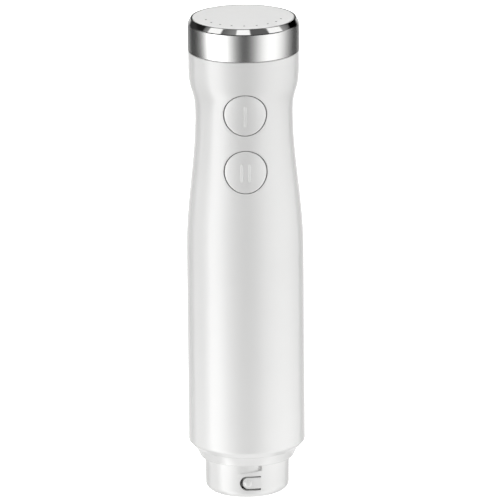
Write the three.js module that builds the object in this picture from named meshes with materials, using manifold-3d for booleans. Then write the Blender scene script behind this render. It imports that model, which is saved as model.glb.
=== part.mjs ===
// Motor handle of a cordless immersion blender, standing on its coupling spigot.
// Millimetres, +Z up, front (the button side) towards -Y, origin at the centre of the
// spigot's lower rim. Every piece is a separate closed solid in its own named mesh.
import * as THREE from 'three';
import { mergeVertices } from 'three/addons/utils/BufferGeometryUtils.js';
import Module from 'manifold-3d';

const wasm = await Module();
wasm.setup();

// ---------------------------------------------------------------- driving dimensions

// clearances
const fitGap = 0.3;             // between parts that seat on or in each other
const runningGap = 0.5;         // beside anything that turns
const contactGap = 0.1;         // between parts that only push on each other
const overshoot = 1;            // how far a cutting tool runs past the face it opens

// sleeve: barrel, waist and mouth of the one-piece outer housing
const bodyRadius = 29.95;
const waistInset = 5.0;         // how far the waist and the mouth stand inside the barrel
const mouthInset = 1.7;
const sleeveWall = 2.3;
const barrelTop = 127.4;
const waistRise = 71.6;         // from the barrel's top to the waist
const mouthRise = 25;           // from the waist to the mouth
const mouthLand = 7.5;          // straight band above the flare of the mouth
const barrelEase = 26;          // lengths of the curve handles that blend barrel, waist and mouth
const waistEaseBelow = 24.2;
const waistEaseAbove = 14.6;
const mouthEase = 14.1;
const shoulderRun = 2.85;       // bevel from the barrel down to the seam, across
const shoulderRise = 3.0;       // and up
const shoulderBlend = 2.4;      // radius between bevel and barrel
const footLand = 2.1;           // width of the sleeve's lower end face
const edgeRound = 0.4;

// bayonet collar and its spigot
const seamGap = 0.3;
const seamStep = 0.7;           // the collar's top edge is this much inside the sleeve's foot
const coneRun = 2.0;
const coneHeight = 5.0;
const ledgeWidth = 2.7;
const ledgeHeight = 18.2;
const ledgeRound = 0.8;
const spigotDraft = 0.25;
const skirtWall = 2.4;
const rimFillet = 4.0;
const rimWidth = 8.95;          // spigot wall, hollow and well wall together
const rimThickness = 2.6;
const wellWall = 2.0;
const wellDrop = 1.2;           // the well's ceiling is this much below the ledge
const floorThickness = 3;
const lipWall = 2.0;            // lip that plugs into the sleeve
const lipHeight = 6.0;
const shelfDrop = 1.7;
const sealWidth = 1.0;
const sealHeight = 1.6;

// bayonet pockets under the ledge, and the spring latch below the front one
const pocketCount = 3;
const pocketLead = 13;          // degrees left of front where the ramp begins
const pocketStop = 20.5;        // degrees right of front where the stop wall stands
const pocketDepth = 1.6;
const pocketHeight = 3.3;
const pocketSlope = 1.7;        // how much lower the pocket's edge is at its lead-in end
const latchHeight = 8.25;       // centre line of the tongue
const latchTip = 3.3;           // reach of the slot's centre line left of the front line
const latchRoot = 7.0;          // where the tongue joins the spigot, right of the front line
const slotRadius = 3.25;        // half the distance between the slot's two arms
const slotWidth = 0.9;
const bumpRadius = 2.0;
const bumpRise = 0.7;
const bumpOffset = 0.4;

// motor
const motorLength = 52;
const canWall = 1.2;
const canEar = 1.5;
const mountThickness = 3;
const bossRadius = 6.5;
const bossWall = 1.2;
const bearingLength = 5;
const shaftRadius = 2.5;
const magnetThickness = 2.6;
const magnetOverhang = 4;       // magnets beyond each end of the core
const magnetSpan = 134;         // degrees
const coreSlots = 5;
const coreSlotWidth = 2.4;
const coreHub = 5.4;            // radius at the bottom of the slots
const windingHeight = 6;
const windingStep = 1.4;
const commutatorRadius = 5;
const commutatorLength = 7;
const brushHeight = 4;
const brushWidth = 3.4;
const brushRoom = 1.7;          // between a brush and the edge of its holder
const brushPlate = 1.6;
const endCapRim = 2;
const endCapRimWall = 1.5;
const endCapFloor = 1;          // web above the upper bearing
const guideWall = 0.9;
const endCapThickness = 3;
const damperHeight = 8;
const damperWall = 5.1;         // rubber between the motor and the trays' outer edge
const screwHeadRadius = 1.7;
const screwHeadHeight = 1.6;
const screwRadius = 1.2;
const screwReach = 7.5;         // depth of thread in the collar's bosses
const screwBossWall = 1.1;
const screwTipRoom = 1;         // thread hole beyond the screw, and floor beyond the hole
const screwCount = 3;

// drive coupling and its seal
const couplingWall = 2.6;
const couplingLobe = 1.4;
const couplingLobes = 6;
const couplingTip = 4.5;        // height of its lower end above the rim
const couplingRoom = 2;         // between its upper end and the well's ceiling
const sealWall = 3.0;
const sealFlange = 2.0;
const sealFlangeHeight = 0.9;

// battery
const cradleSpan = 110;         // degrees of each side cradle
const cellCount = 3;
const cellSpacing = 1.0;        // between neighbouring cells
const pocketRim = 2.0;          // tray outside the cells
const trayThickness = 4.0;
const trayPocket = 1.6;
const trayWindowWall = 2;       // between a strap's end and the opening in the middle of a tray
const strapThickness = 0.3;
const strapWidth = 8;
const terminalRadius = 4;
const leadRadius = 1.0;
const leadInset = 7.2;          // motor leads inside the trays' edge
const boardThickness = 1.6;
const powerBoardGap = 0.8;

// boards, carrier and buttons
const capRadius = 10.65;
const capGap = 0.45;
const buttonRise = 5.5;           // upper button above the waist
const buttonWeb = 7.4;            // sleeve left between the two button holes
const buttonTravel = 1.2;
const capFlange = 1.3;
const capFlangeThickness = 1.0;
const capWall = 1.8;
const stemRadius = 2.4;
const barHeight = 9.3;          // raised bars on the caps
const barWidth = 1.3;
const barRise = 0.25;
const barSpacing = 4.0;
const frameThickness = 1.2;
const frameMargin = 1.4;
const switchSize = 6.2;
const switchHeight = 3.4;
const switchFloor = 0.6;
const plungerRadius = 1.6;
const plungerStand = 1.6;       // plunger above the switch body at rest
const carrierThickness = 2.0;
const carrierRing = 2.7;
const carrierFoot = 3.6;
const boardMargin = 8;          // board beyond the lower and upper button centres
const boardInset = 2;           // board edge to the sleeve's bore
const powerBay = 10.4;          // room for the power board below the lower button
const sinkDepth = 6;
const sinkWidth = 20;
const sinkHeight = 20;
const sinkFins = 5;
const finThickness = 1.4;
const finRoot = 2.0;
const transistorDepth = 4.5;
const transistorWidth = 10;
const transistorHeight = 15;
const transistorRoom = 1;       // beside the transistor, free of fins

// charging port at the back
const portDrop = 9.4;           // below the top of the barrel
const portWidth = 12;
const portOpening = 6;
const portDepth = 5;
const portFloor = 1.2;
const bezelWall = 1.2;
const bezelFlange = 1.8;
const bezelFlangeThickness = 1.2;
const socketWidth = 9;
const socketHeight = 3.2;
const socketWall = 0.35;
const socketFloor = 1.0;
const tongueInset = 0.6;        // contact tongue behind the socket's mouth
const tongueThickness = 0.7;
const chargeBoardWidth = 16;
const chargeBoardHeight = 20;

// speed ring and top
const ringInset = 0.4;          // ring inside the sleeve's mouth
const ringGap = 0.4;
const ringHeight = 17.5;
const ringWall = 1.65;
const chamferWidth = 1.45;
const chamferHeight = 2.7;
const capInset = 0.35;          // gap between ring and top cap
const topThickness = 1.8;
const carrierWall = 1.4;
const glideThickness = 1.0;
const hubWall = 2.0;
const hubFloor = 2.0;
const hubFloorDrop = 7.4;       // hub floor below the top face
const hubFloorWidth = 6.2;
const skirtThickness = 1.5;
const plugWall = 2.25;
const dotCount = 9;
const dotInset = 1.9;           // inside the cap's skirt
const dotPitch = 20;            // degrees
const dotRadius = 0.5;
const dotGap = 0.12;
const guideThickness = 1.2;
const ledBoardThickness = 1.2;
const magnetBlock = 4;
const magnetDepth = 1.0;
const magnetAzimuth = 135;      // degrees from +X

// facets round a full turn
const shellSteps = 32;
const discSteps = 24;
const insideSteps = 16;
const smallSteps = 8;
const buttonSteps = 28;
const flankSteps = 6;
const filletSteps = 4;
const dotSteps = 6;

// ---------------------------------------------------------------- derived dimensions

const waistRadius = bodyRadius - waistInset;
const mouthRadius = bodyRadius - mouthInset;
const waistHeight = barrelTop + waistRise;
const mouthHeight = waistHeight + mouthRise;
const sleeveTop = mouthHeight + mouthLand;
const boreRadius = bodyRadius - sleeveWall;
const waistBore = waistRadius - sleeveWall;
const mouthBore = mouthRadius - sleeveWall;
const shoulderFoot = bodyRadius - shoulderRun;
const shoulderBore = shoulderFoot - footLand;
const collarTop = ledgeHeight + coneHeight;
const sleeveFoot = collarTop + seamGap;
const collarTopRadius = shoulderFoot - seamStep;
const collarFootRadius = collarTopRadius - coneRun;
const spigotRadius = collarFootRadius - ledgeWidth;
const spigotFootRadius = spigotRadius - spigotDraft;
const skirtInside = spigotFootRadius - skirtWall;
const wellRadius = spigotFootRadius - rimWidth;
const lipRadius = shoulderBore - fitGap;
const lipInside = lipRadius - lipWall;
const lipTop = collarTop + lipHeight;
const shelfHeight = collarTop - shelfDrop;
const wellDepth = ledgeHeight - wellDrop;
const couplingLength = wellDepth - couplingRoom - couplingTip;
const hubHole = shaftRadius + runningGap + sealWall + fitGap;

const trayRadius = lipInside - fitGap;
const motorRadius = trayRadius - damperWall - fitGap;
const leadCircle = trayRadius - leadInset;
const mountBottom = shelfHeight + fitGap;
const mountTop = mountBottom + mountThickness;
const canBottom = mountTop + fitGap;
const canTop = canBottom + motorLength;
const endCapTop = canTop + fitGap + endCapThickness;
const screwCircle = motorRadius + fitGap + screwHeadRadius;
const screwSeat = canBottom + canEar + fitGap;
const screwBottom = shelfHeight - screwReach + screwTipRoom;
const bossBottom = screwBottom - 2 * screwTipRoom;
const canInside = motorRadius - canWall;
const magnetOuter = canInside - fitGap;
const magnetInner = magnetOuter - magnetThickness;
const coreRadius = magnetInner - runningGap;
const brushLength = canInside - bossRadius - 2 * fitGap - brushRoom;
const upperBearingTop = endCapTop - endCapFloor - contactGap;
const upperBearingBottom = upperBearingTop - bearingLength;
const coreBottom = canBottom + canWall + windingHeight + windingStep + runningGap;
const commutatorTop = upperBearingBottom - runningGap;
const commutatorBottom = commutatorTop - commutatorLength;
const coreTop = commutatorBottom - windingHeight - 2 * fitGap;
const brushPlateTop = canTop - endCapRim - fitGap;
const brushPlateBottom = brushPlateTop - brushPlate;
const brushBottom = brushPlateBottom - guideWall - brushHeight;

const cellRadius = (trayRadius - pocketRim - cellSpacing / Math.sqrt(3)) / (1 + 2 / Math.sqrt(3));
const cellCircle = (2 * cellRadius + cellSpacing) / Math.sqrt(3);
const upperButton = waistHeight + buttonRise;
const holeRadius = capRadius + capGap;
const buttonHeights = [upperButton, upperButton - 2 * holeRadius - buttonWeb];
const boardBottom = buttonHeights[1] - boardMargin;
const boardTop = buttonHeights[0] + boardMargin;
const flangeRadius = capRadius + capFlange;
const carrierBottom = buttonHeights[1] - flangeRadius - powerBay;
const upperTrayTop = carrierBottom - fitGap;
const upperTrayBottom = upperTrayTop - trayThickness;
const lowerTrayBottom = endCapTop + fitGap;
const lowerTrayTop = lowerTrayBottom + trayThickness;
const cellBottom = lowerTrayTop - trayPocket + strapThickness + 2 * contactGap;
const cellTop = upperTrayBottom + trayPocket - strapThickness - 2 * contactGap;
const powerBoardBottom = upperTrayTop + powerBoardGap;
const powerBoardTop = powerBoardBottom + boardThickness;

const flangeFront = -(halfChord(waistBore, flangeRadius) - fitGap);
const flangeBack = flangeFront + capFlangeThickness;
const frameFront = flangeBack + buttonTravel + fitGap;
const frameBack = frameFront + frameThickness;
const pocketRadius = capRadius - capWall;
const pocketFloor = -(halfChord(waistRadius, pocketRadius) - capWall);
const plungerFront = flangeFront + contactGap;
const switchFront = plungerFront + plungerStand;
const boardFront = switchFront + switchHeight;
const boardBack = boardFront + boardThickness;
const carrierFront = boardBack + fitGap;
const carrierBack = carrierFront + carrierThickness;
const carrierRadius = waistBore - fitGap;
const carrierTop = mouthHeight - fitGap;

const socketFront = bodyRadius - portDepth;
const bezelBack = socketFront - portFloor;
const portHeight = barrelTop - portDrop;
const cellFlat = cellCircle / 2 + cellRadius;
const chargeBoardBack = cellFlat + fitGap;
const chargeBoardFront = chargeBoardBack + boardThickness;

const ringBottom = sleeveTop + ringGap;
const topHeight = ringBottom + ringHeight;
const ringRadius = mouthRadius - ringInset;
const ringBore = ringRadius - ringWall;
const topRadius = ringBore - capInset;
const topUnderside = topHeight - topThickness;
const plugRadius = mouthBore - fitGap;
const plugTop = sleeveTop - fitGap;
const dialRadius = ringBore - fitGap;
const dialInside = dialRadius - carrierWall;
const dialBottom = plugTop + glideThickness + 2 * fitGap;
const dialTop = topUnderside - runningGap;
const hubRadius = dialInside - fitGap;
const hubInside = hubRadius - hubWall;
const hubFloorTop = topHeight - hubFloorDrop;
const skirtRadius = hubInside - fitGap;
const skirtBore = skirtRadius - skirtThickness;
const dotCircle = skirtBore - dotInset;
const guideHalfWidth = dotInset - fitGap;

// ---------------------------------------------------------------- geometry helpers

/** Half the length of the chord that lies `offset` from the centre of a circle. */
function halfChord(radius, offset) {
  return Math.sqrt(Math.max(radius * radius - offset * offset, 0));
}

/** Turns a three.js geometry into a closed solid with shared vertices and outward faces. */
function solidOf(geometry) {
  geometry.deleteAttribute('normal');
  geometry.deleteAttribute('uv');
  const merged = mergeVertices(geometry, 1e-4);
  const places = merged.getAttribute('position').array;
  const corners = merged.getIndex().array;
  const faces = [];
  let volume = 0;
  for (let i = 0; i < corners.length; i += 3) {
    const [a, b, c] = [corners[i], corners[i + 1], corners[i + 2]];
    if (a === b || b === c || c === a) continue;
    faces.push(a, b, c);
    const pa = new THREE.Vector3().fromArray(places, 3 * a);
    const pb = new THREE.Vector3().fromArray(places, 3 * b);
    const pc = new THREE.Vector3().fromArray(places, 3 * c);
    volume += pa.dot(pb.cross(pc));
  }
  const outward = volume < 0 ? faces.reverse() : faces;
  const mesh = new wasm.Mesh({
    numProp: 3,
    vertProperties: Float32Array.from(places),
    triVerts: Uint32Array.from(outward),
  });
  return new wasm.Manifold(mesh);
}

/** Turns a solid back into a three.js geometry. */
function geometryOf(solid) {
  const mesh = solid.getMesh();
  const geometry = new THREE.BufferGeometry();
  geometry.setAttribute('position', new THREE.BufferAttribute(Float32Array.from(mesh.vertProperties), 3));
  geometry.setIndex(new THREE.BufferAttribute(Uint32Array.from(mesh.triVerts), 1));
  geometry.computeVertexNormals();
  return geometry;
}

/** Removes every tool from the body. */
function cut(body, ...tools) {
  return tools.reduce((rest, tool) => rest.subtract(tool), body);
}

/** Joins solids that touch into one. */
function join(first, ...others) {
  return others.reduce((whole, other) => whole.add(other), first);
}

/** Revolves a profile of [radius, height] points about the Z axis. */
function turned(profile, steps = insideSteps) {
  const points = profile.map(([radius, height]) => new THREE.Vector2(radius, height));
  const geometry = new THREE.LatheGeometry(points, steps);
  geometry.rotateX(Math.PI / 2);
  return solidOf(geometry);
}

/** A closed ring of rectangular section. */
function ringSolid(inner, outer, bottom, top, steps = insideSteps) {
  return turned([[inner, bottom], [outer, bottom], [outer, top], [inner, top], [inner, bottom]], steps);
}

/** A round rod standing on `bottom`, with its axis at [x, y]. */
function rod(radius, bottom, top, [x, y] = [0, 0], steps = smallSteps) {
  const geometry = new THREE.CylinderGeometry(radius, radius, top - bottom, steps);
  geometry.rotateX(Math.PI / 2);
  geometry.translate(x, y, (bottom + top) / 2);
  return solidOf(geometry);
}

/** A round rod along Y, centred on [x, z]. */
function crossRod(radius, front, back, [x, z], steps = insideSteps) {
  const geometry = new THREE.CylinderGeometry(radius, radius, back - front, steps);
  geometry.translate(x, (front + back) / 2, z);
  return solidOf(geometry);
}

/** A box between two corners. */
function block([x0, y0, z0], [x1, y1, z1]) {
  const geometry = new THREE.BoxGeometry(x1 - x0, y1 - y0, z1 - z0);
  geometry.translate((x0 + x1) / 2, (y0 + y1) / 2, (z0 + z1) / 2);
  return solidOf(geometry);
}

/** A plan outline in X and Y, raised from bottom to top. */
function raised(shape, bottom, top, curveSteps = 8) {
  const geometry = new THREE.ExtrudeGeometry(shape, {
    depth: top - bottom,
    bevelEnabled: false,
    curveSegments: curveSteps,
  });
  geometry.translate(0, 0, bottom);
  return solidOf(geometry);
}

/** A front outline in X and Z, carried from front to back along Y. */
function carriedBack(shape, front, back, curveSteps = 8) {
  const geometry = new THREE.ExtrudeGeometry(shape, {
    depth: back - front,
    bevelEnabled: false,
    curveSegments: curveSteps,
  });
  geometry.rotateX(Math.PI / 2);
  geometry.translate(0, back, 0);
  return solidOf(geometry);
}

/** A slot-shaped outline with round ends, centred on [x, y]. */
function stadium(width, height, [x, y] = [0, 0]) {
  const radius = height / 2;
  const straight = width / 2 - radius;
  const shape = new THREE.Shape();
  shape.absarc(x + straight, y, radius, -Math.PI / 2, Math.PI / 2, false);
  shape.absarc(x - straight, y, radius, Math.PI / 2, 1.5 * Math.PI, false);
  shape.closePath();
  return shape;
}

/** A closed outline through straight corners. */
function outline(corners) {
  return new THREE.Shape(corners.map(([x, y]) => new THREE.Vector2(x, y)));
}

/** A sector of a ring between two azimuths in degrees, measured from +X. */
function sector(inner, outer, from, to) {
  const shape = new THREE.Shape();
  const start = THREE.MathUtils.degToRad(from);
  const end = THREE.MathUtils.degToRad(to);
  shape.absarc(0, 0, outer, start, end, false);
  shape.absarc(0, 0, inner, end, start, true);
  shape.closePath();
  return shape;
}

/** The point at a radius and an azimuth in degrees, measured from +X. */
function around(radius, azimuth) {
  const angle = THREE.MathUtils.degToRad(azimuth);
  return [radius * Math.cos(angle), radius * Math.sin(angle)];
}

/** A box that points away from the axis at an azimuth, from one radius to another. */
function spoke(inner, outer, width, bottom, top, azimuth) {
  const geometry = new THREE.BoxGeometry(outer - inner, width, top - bottom);
  geometry.translate((inner + outer) / 2, 0, (bottom + top) / 2);
  geometry.rotateZ(THREE.MathUtils.degToRad(azimuth));
  return solidOf(geometry);
}

/** Evenly spaced azimuths in degrees, the first at `start`. */
function azimuths(count, start) {
  return Array.from({ length: count }, (_, index) => start + (360 * index) / count);
}

// ---------------------------------------------------------------- group and materials

const finishes = {
  whitePlastic: { color: 0xf1f1ef, roughness: 0.22, metalness: 0 },
  greyPlastic: { color: 0x8d9094, roughness: 0.6, metalness: 0 },
  darkPlastic: { color: 0x2c2d2f, roughness: 0.5, metalness: 0 },
  brushedSteel: { color: 0xb9bbbd, roughness: 0.32, metalness: 1 },
  steel: { color: 0x9a9da0, roughness: 0.4, metalness: 1 },
  brass: { color: 0xb89b5a, roughness: 0.35, metalness: 1 },
  copper: { color: 0xb4683c, roughness: 0.4, metalness: 1 },
  ferrite: { color: 0x3a3a3c, roughness: 0.8, metalness: 0 },
  rubber: { color: 0x222324, roughness: 0.8, metalness: 0 },
  board: { color: 0x1f5a3a, roughness: 0.5, metalness: 0 },
  cellWrap: { color: 0x3b6ea5, roughness: 0.45, metalness: 0 },
  aluminium: { color: 0xaeb1b4, roughness: 0.5, metalness: 1 },
  smoked: { color: 0x3d3f41, roughness: 0.2, metalness: 0 },
};

const handle = new THREE.Group();

/** Adds one solid to a group as a mesh with its own material. */
function addPiece(group, name, solid, finish) {
  const mesh = new THREE.Mesh(geometryOf(solid), new THREE.MeshStandardMaterial(finishes[finish]));
  mesh.name = name;
  group.add(mesh);
}

// ---------------------------------------------------------------- outer sleeve

/** Points down the sleeve's flank, from mouth to barrel, moved in by `inset`. */
function flank(inset, steps) {
  const upper = new THREE.CubicBezierCurve(
    new THREE.Vector2(mouthRadius - inset, mouthHeight),
    new THREE.Vector2(mouthRadius - inset, mouthHeight - mouthEase),
    new THREE.Vector2(waistRadius - inset, waistHeight + waistEaseAbove),
    new THREE.Vector2(waistRadius - inset, waistHeight),
  );
  const lower = new THREE.CubicBezierCurve(
    new THREE.Vector2(waistRadius - inset, waistHeight),
    new THREE.Vector2(waistRadius - inset, waistHeight - waistEaseBelow),
    new THREE.Vector2(bodyRadius - inset, barrelTop + barrelEase),
    new THREE.Vector2(bodyRadius - inset, barrelTop),
  );
  const points = [...upper.getPoints(steps), ...lower.getPoints(steps).slice(1)];
  return points.map((point) => [point.x, point.y]);
}

/** Bevelled and rounded shoulder below the barrel, from barrel to seam. */
function shoulder() {
  const slope = Math.atan2(shoulderRise, shoulderRun);
  const bevelTop = sleeveFoot + shoulderRise;
  const setback = shoulderBlend * Math.tan((Math.PI / 2 - slope) / 2);
  const arc = new THREE.Path();
  arc.absarc(bodyRadius - shoulderBlend, bevelTop + setback, shoulderBlend, 0, slope - Math.PI / 2, true);
  return [...arc.getPoints(filletSteps - 1).map((point) => [point.x, point.y]), [shoulderFoot, sleeveFoot]];
}

/** The sleeve's outer surface, filled in down to the axis. */
function sleeveEnvelope() {
  const profile = [
    [0, sleeveTop],
    [mouthRadius - edgeRound, sleeveTop],
    [mouthRadius, sleeveTop - edgeRound],
    ...flank(0, flankSteps),
    ...shoulder(),
    [0, sleeveFoot],
  ];
  return turned(profile, shellSteps);
}

const envelope = sleeveEnvelope();

/** The space inside the sleeve, open at both ends. */
function sleeveBore() {
  const taperTop = sleeveFoot + shoulderRise + shoulderBlend + boreRadius - shoulderBore;
  return turned([
    [0, sleeveTop + overshoot],
    [mouthBore, sleeveTop + overshoot],
    ...flank(sleeveWall, flankSteps - 2),
    [boreRadius, taperTop],
    [shoulderBore, sleeveFoot + shoulderRise + shoulderBlend],
    [shoulderBore, sleeveFoot - overshoot],
    [0, sleeveFoot - overshoot],
  ], shellSteps);
}

const frontSide = -bodyRadius - overshoot;
const rearSide = bodyRadius + overshoot;
const buttonHoles = buttonHeights.map((height) => (
  crossRod(holeRadius, frontSide, 0, [0, height], buttonSteps)
));
const bezelOuterWidth = portWidth + 2 * bezelWall;
const bezelOuterHeight = portOpening + 2 * bezelWall;

/** A stadium around the charging port's axis, as a solid along Y. */
function portSolid(width, height, front, back) {
  return carriedBack(stadium(width, height, [0, portHeight]), front, back, filletSteps + 1);
}

const portHole = portSolid(bezelOuterWidth + 2 * fitGap, bezelOuterHeight + 2 * fitGap, 0, rearSide);
addPiece(handle, 'housing_sleeve', cut(envelope, sleeveBore(), ...buttonHoles, portHole), 'whitePlastic');

// ---------------------------------------------------------------- collar, spigot and latch

/** Section of the collar with its spigot, well and plug-in lip. */
function collarProfile() {
  const foot = new THREE.Path();
  foot.absarc(spigotFootRadius - rimFillet, rimFillet, rimFillet, -Math.PI / 2, 0, false);
  const ledge = new THREE.Path();
  ledge.absarc(collarFootRadius - ledgeRound, ledgeHeight + ledgeRound, ledgeRound, -Math.PI / 2, 0, false);
  const grooveBottom = collarTop + (lipHeight - sealHeight) / 2 - fitGap;
  const grooveTop = grooveBottom + sealHeight + 2 * fitGap;
  const grooveRadius = lipRadius - sealWidth - fitGap;
  const floorTop = wellDepth + floorThickness;
  return [
    [wellRadius, 0],
    ...foot.getPoints(filletSteps).map((point) => [point.x, point.y]),
    [spigotRadius, ledgeHeight],
    ...ledge.getPoints(filletSteps / 2).map((point) => [point.x, point.y]),
    [collarTopRadius, collarTop],
    [lipRadius, collarTop],
    [lipRadius, grooveBottom],
    [grooveRadius, grooveBottom],
    [grooveRadius, grooveTop],
    [lipRadius, grooveTop],
    [lipRadius, lipTop],
    [lipInside, lipTop],
    [lipInside, shelfHeight],
    [skirtInside, shelfHeight],
    [skirtInside, rimThickness],
    [wellRadius + wellWall, rimThickness],
    [wellRadius + wellWall, floorTop],
    [hubHole, floorTop],
    [hubHole, wellDepth],
    [wellRadius, wellDepth],
    [wellRadius, 0],
  ];
}

/** One ramped pocket under the ledge, turned to an azimuth from the front. */
function bayonetPocket(turn) {
  const outer = spigotRadius + overshoot;
  const steps = flankSteps;
  const floor = [];
  for (let i = 0; i <= steps; i += 1) {
    const azimuth = -90 - pocketLead + ((pocketLead + pocketStop) * i) / steps;
    floor.push(around(spigotRadius - (pocketDepth * i) / steps, azimuth));
  }
  const plan = outline([around(outer, -90 - pocketLead), ...floor, around(outer, -90 + pocketStop)]);
  const lowRight = ledgeHeight - pocketHeight;
  const left = spigotRadius * Math.sin(THREE.MathUtils.degToRad(-pocketLead));
  const right = spigotRadius * Math.sin(THREE.MathUtils.degToRad(pocketStop));
  const front = outline([
    [left - overshoot, lowRight - pocketSlope],
    [right + overshoot, lowRight],
    [right + overshoot, ledgeHeight + contactGap],
    [left - overshoot, ledgeHeight + contactGap],
  ]);
  const wedge = raised(plan, 0, collarTop).intersect(carriedBack(front, frontSide, 0));
  return wedge.rotate([0, 0, turn]);
}

/** Front outline of the tongue, grown by `grow`, ending at `rootEnd` on the right. */
function tongueOutline(grow, rootEnd) {
  const radius = slotRadius - slotWidth / 2 + grow;
  const centre = slotRadius - latchTip;
  const shape = new THREE.Shape();
  shape.absarc(centre, latchHeight, radius, Math.PI / 2, 1.5 * Math.PI, false);
  shape.lineTo(rootEnd, latchHeight - radius);
  shape.lineTo(rootEnd, latchHeight + radius);
  shape.closePath();
  return shape;
}

const collarBody = turned(collarProfile(), shellSteps);
const screwAngles = azimuths(screwCount, 90);

/** Screw bosses inside the spigot, kept within its wall. */
function collarBosses() {
  const keeper = rod(skirtInside + skirtWall / 2, 0, shelfHeight, [0, 0], shellSteps);
  const bossSize = screwRadius + fitGap + screwBossWall;
  const posts = screwAngles.map((angle) => (
    rod(bossSize, bossBottom, shelfHeight, around(screwCircle, angle))
  ));
  return posts.map((post) => post.intersect(keeper));
}

const screwHoles = screwAngles.map((angle) => (
  rod(screwRadius + fitGap, screwBottom - screwTipRoom, lipTop, around(screwCircle, angle))
));
const windowBack = -(wellRadius + wellWall + runningGap);
const tongueWindow = carriedBack(tongueOutline(slotWidth, latchRoot), frontSide, windowBack, smallSteps);
const pockets = azimuths(pocketCount, 0).map(bayonetPocket);
const collarSolid = cut(join(collarBody, ...collarBosses()), ...screwHoles, ...pockets, tongueWindow);

const lower = new THREE.Group();
handle.add(lower);
addPiece(lower, 'bayonet_collar', collarSolid, 'whitePlastic');

/** The spring tongue: the part of the spigot wall inside the slot, with its round catch. */
function latchTongue() {
  const wall = carriedBack(tongueOutline(0, latchRoot - fitGap), frontSide, windowBack, smallSteps);
  const strip = collarBody.intersect(wall);
  const surface = -halfChord(spigotFootRadius, bumpOffset);
  const catchProfile = [];
  for (let i = 0; i <= filletSteps; i += 1) {
    const angle = (Math.PI / 2) * (i / filletSteps);
    catchProfile.push([bumpRadius * Math.sin(angle), bumpRise * Math.cos(angle)]);
  }
  const root = [[bumpRadius, -skirtWall / 2], [0, -skirtWall / 2]];
  const points = [...catchProfile, ...root].map(([radius, height]) => new THREE.Vector2(radius, height));
  const geometry = new THREE.LatheGeometry(points, insideSteps);
  geometry.rotateX(Math.PI);
  geometry.translate(bumpOffset, surface, latchHeight);
  return join(strip, solidOf(geometry));
}

addPiece(lower, 'latch_tongue', latchTongue(), 'whitePlastic');
const sealBottom = collarTop + (lipHeight - sealHeight) / 2;
const sealTop = sealBottom + sealHeight;
const collarSeal = ringSolid(lipRadius - sealWidth, lipRadius, sealBottom, sealTop, discSteps);
addPiece(lower, 'collar_seal', collarSeal, 'rubber');

/** Shaft seal in the floor of the well, with a flange that rests on the floor. */
function shaftSeal() {
  const inner = shaftRadius + runningGap;
  const outer = hubHole - fitGap;
  const flangeBottom = wellDepth + floorThickness + contactGap;
  const flangeTop = flangeBottom + sealFlangeHeight;
  return turned([
    [inner, wellDepth],
    [outer, wellDepth],
    [outer, flangeBottom],
    [outer + sealFlange, flangeBottom],
    [outer + sealFlange, flangeTop],
    [inner, flangeTop],
    [inner, wellDepth],
  ]);
}

addPiece(lower, 'shaft_seal', shaftSeal(), 'rubber');

// ---------------------------------------------------------------- motor

const motor = new THREE.Group();
handle.add(motor);

const mountHoles = screwAngles.map((angle) => (
  rod(screwRadius + fitGap, mountBottom - overshoot, mountTop + overshoot, around(screwCircle, angle))
));
const mountDisc = ringSolid(bossRadius + fitGap, lipInside - fitGap, mountBottom, mountTop, discSteps);
addPiece(motor, 'motor_mount', cut(mountDisc, ...mountHoles), 'aluminium');

/** Drawn steel can with a boss for the lower bearing and ears for the mounting screws. */
function motorCan() {
  const bearingSeat = bossRadius - bossWall;
  const shell = turned([
    [bearingSeat, mountBottom],
    [bossRadius, mountBottom],
    [bossRadius, canBottom],
    [motorRadius, canBottom],
    [motorRadius, canTop],
    [canInside, canTop],
    [canInside, canBottom + canWall],
    [bearingSeat, canBottom + canWall],
    [bearingSeat, mountBottom],
  ], discSteps);
  const earRadius = screwHeadRadius + fitGap;
  const earTop = canBottom + canEar;
  const ears = screwAngles.map((angle) => join(
    spoke(canInside, screwCircle, 2 * earRadius, canBottom, earTop, angle),
    rod(earRadius, canBottom, earTop, around(screwCircle, angle)),
  ));
  const holes = screwAngles.map((angle) => (
    rod(screwRadius + fitGap, canBottom - overshoot, earTop + overshoot, around(screwCircle, angle))
  ));
  return cut(join(shell, ...ears), ...holes);
}

addPiece(motor, 'motor_can', motorCan(), 'steel');

screwAngles.forEach((angle, index) => {
  const place = around(screwCircle, angle);
  const head = rod(screwHeadRadius, screwSeat, screwSeat + screwHeadHeight, place);
  const shank = rod(screwRadius, screwBottom, screwSeat + contactGap, place);
  addPiece(motor, `mount_screw_${index + 1}`, join(head, shank), 'steel');
});

const bearingOuter = bossRadius - bossWall - contactGap;
const bearingInner = shaftRadius + contactGap;
const lowerBearingBottom = mountBottom + canWall / 2;
const lowerBearingTop = lowerBearingBottom + bearingLength - canWall;
const lowerBearing = ringSolid(bearingInner, bearingOuter, lowerBearingBottom, lowerBearingTop);
addPiece(motor, 'bearing_lower', lowerBearing, 'brass');

[0, 180].forEach((side, index) => {
  const shape = sector(magnetInner, magnetOuter, side - magnetSpan / 2, side + magnetSpan / 2);
  const magnet = raised(shape, coreBottom - magnetOverhang, coreTop + magnetOverhang);
  addPiece(motor, `magnet_${index + 1}`, magnet, 'ferrite');
});

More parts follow.
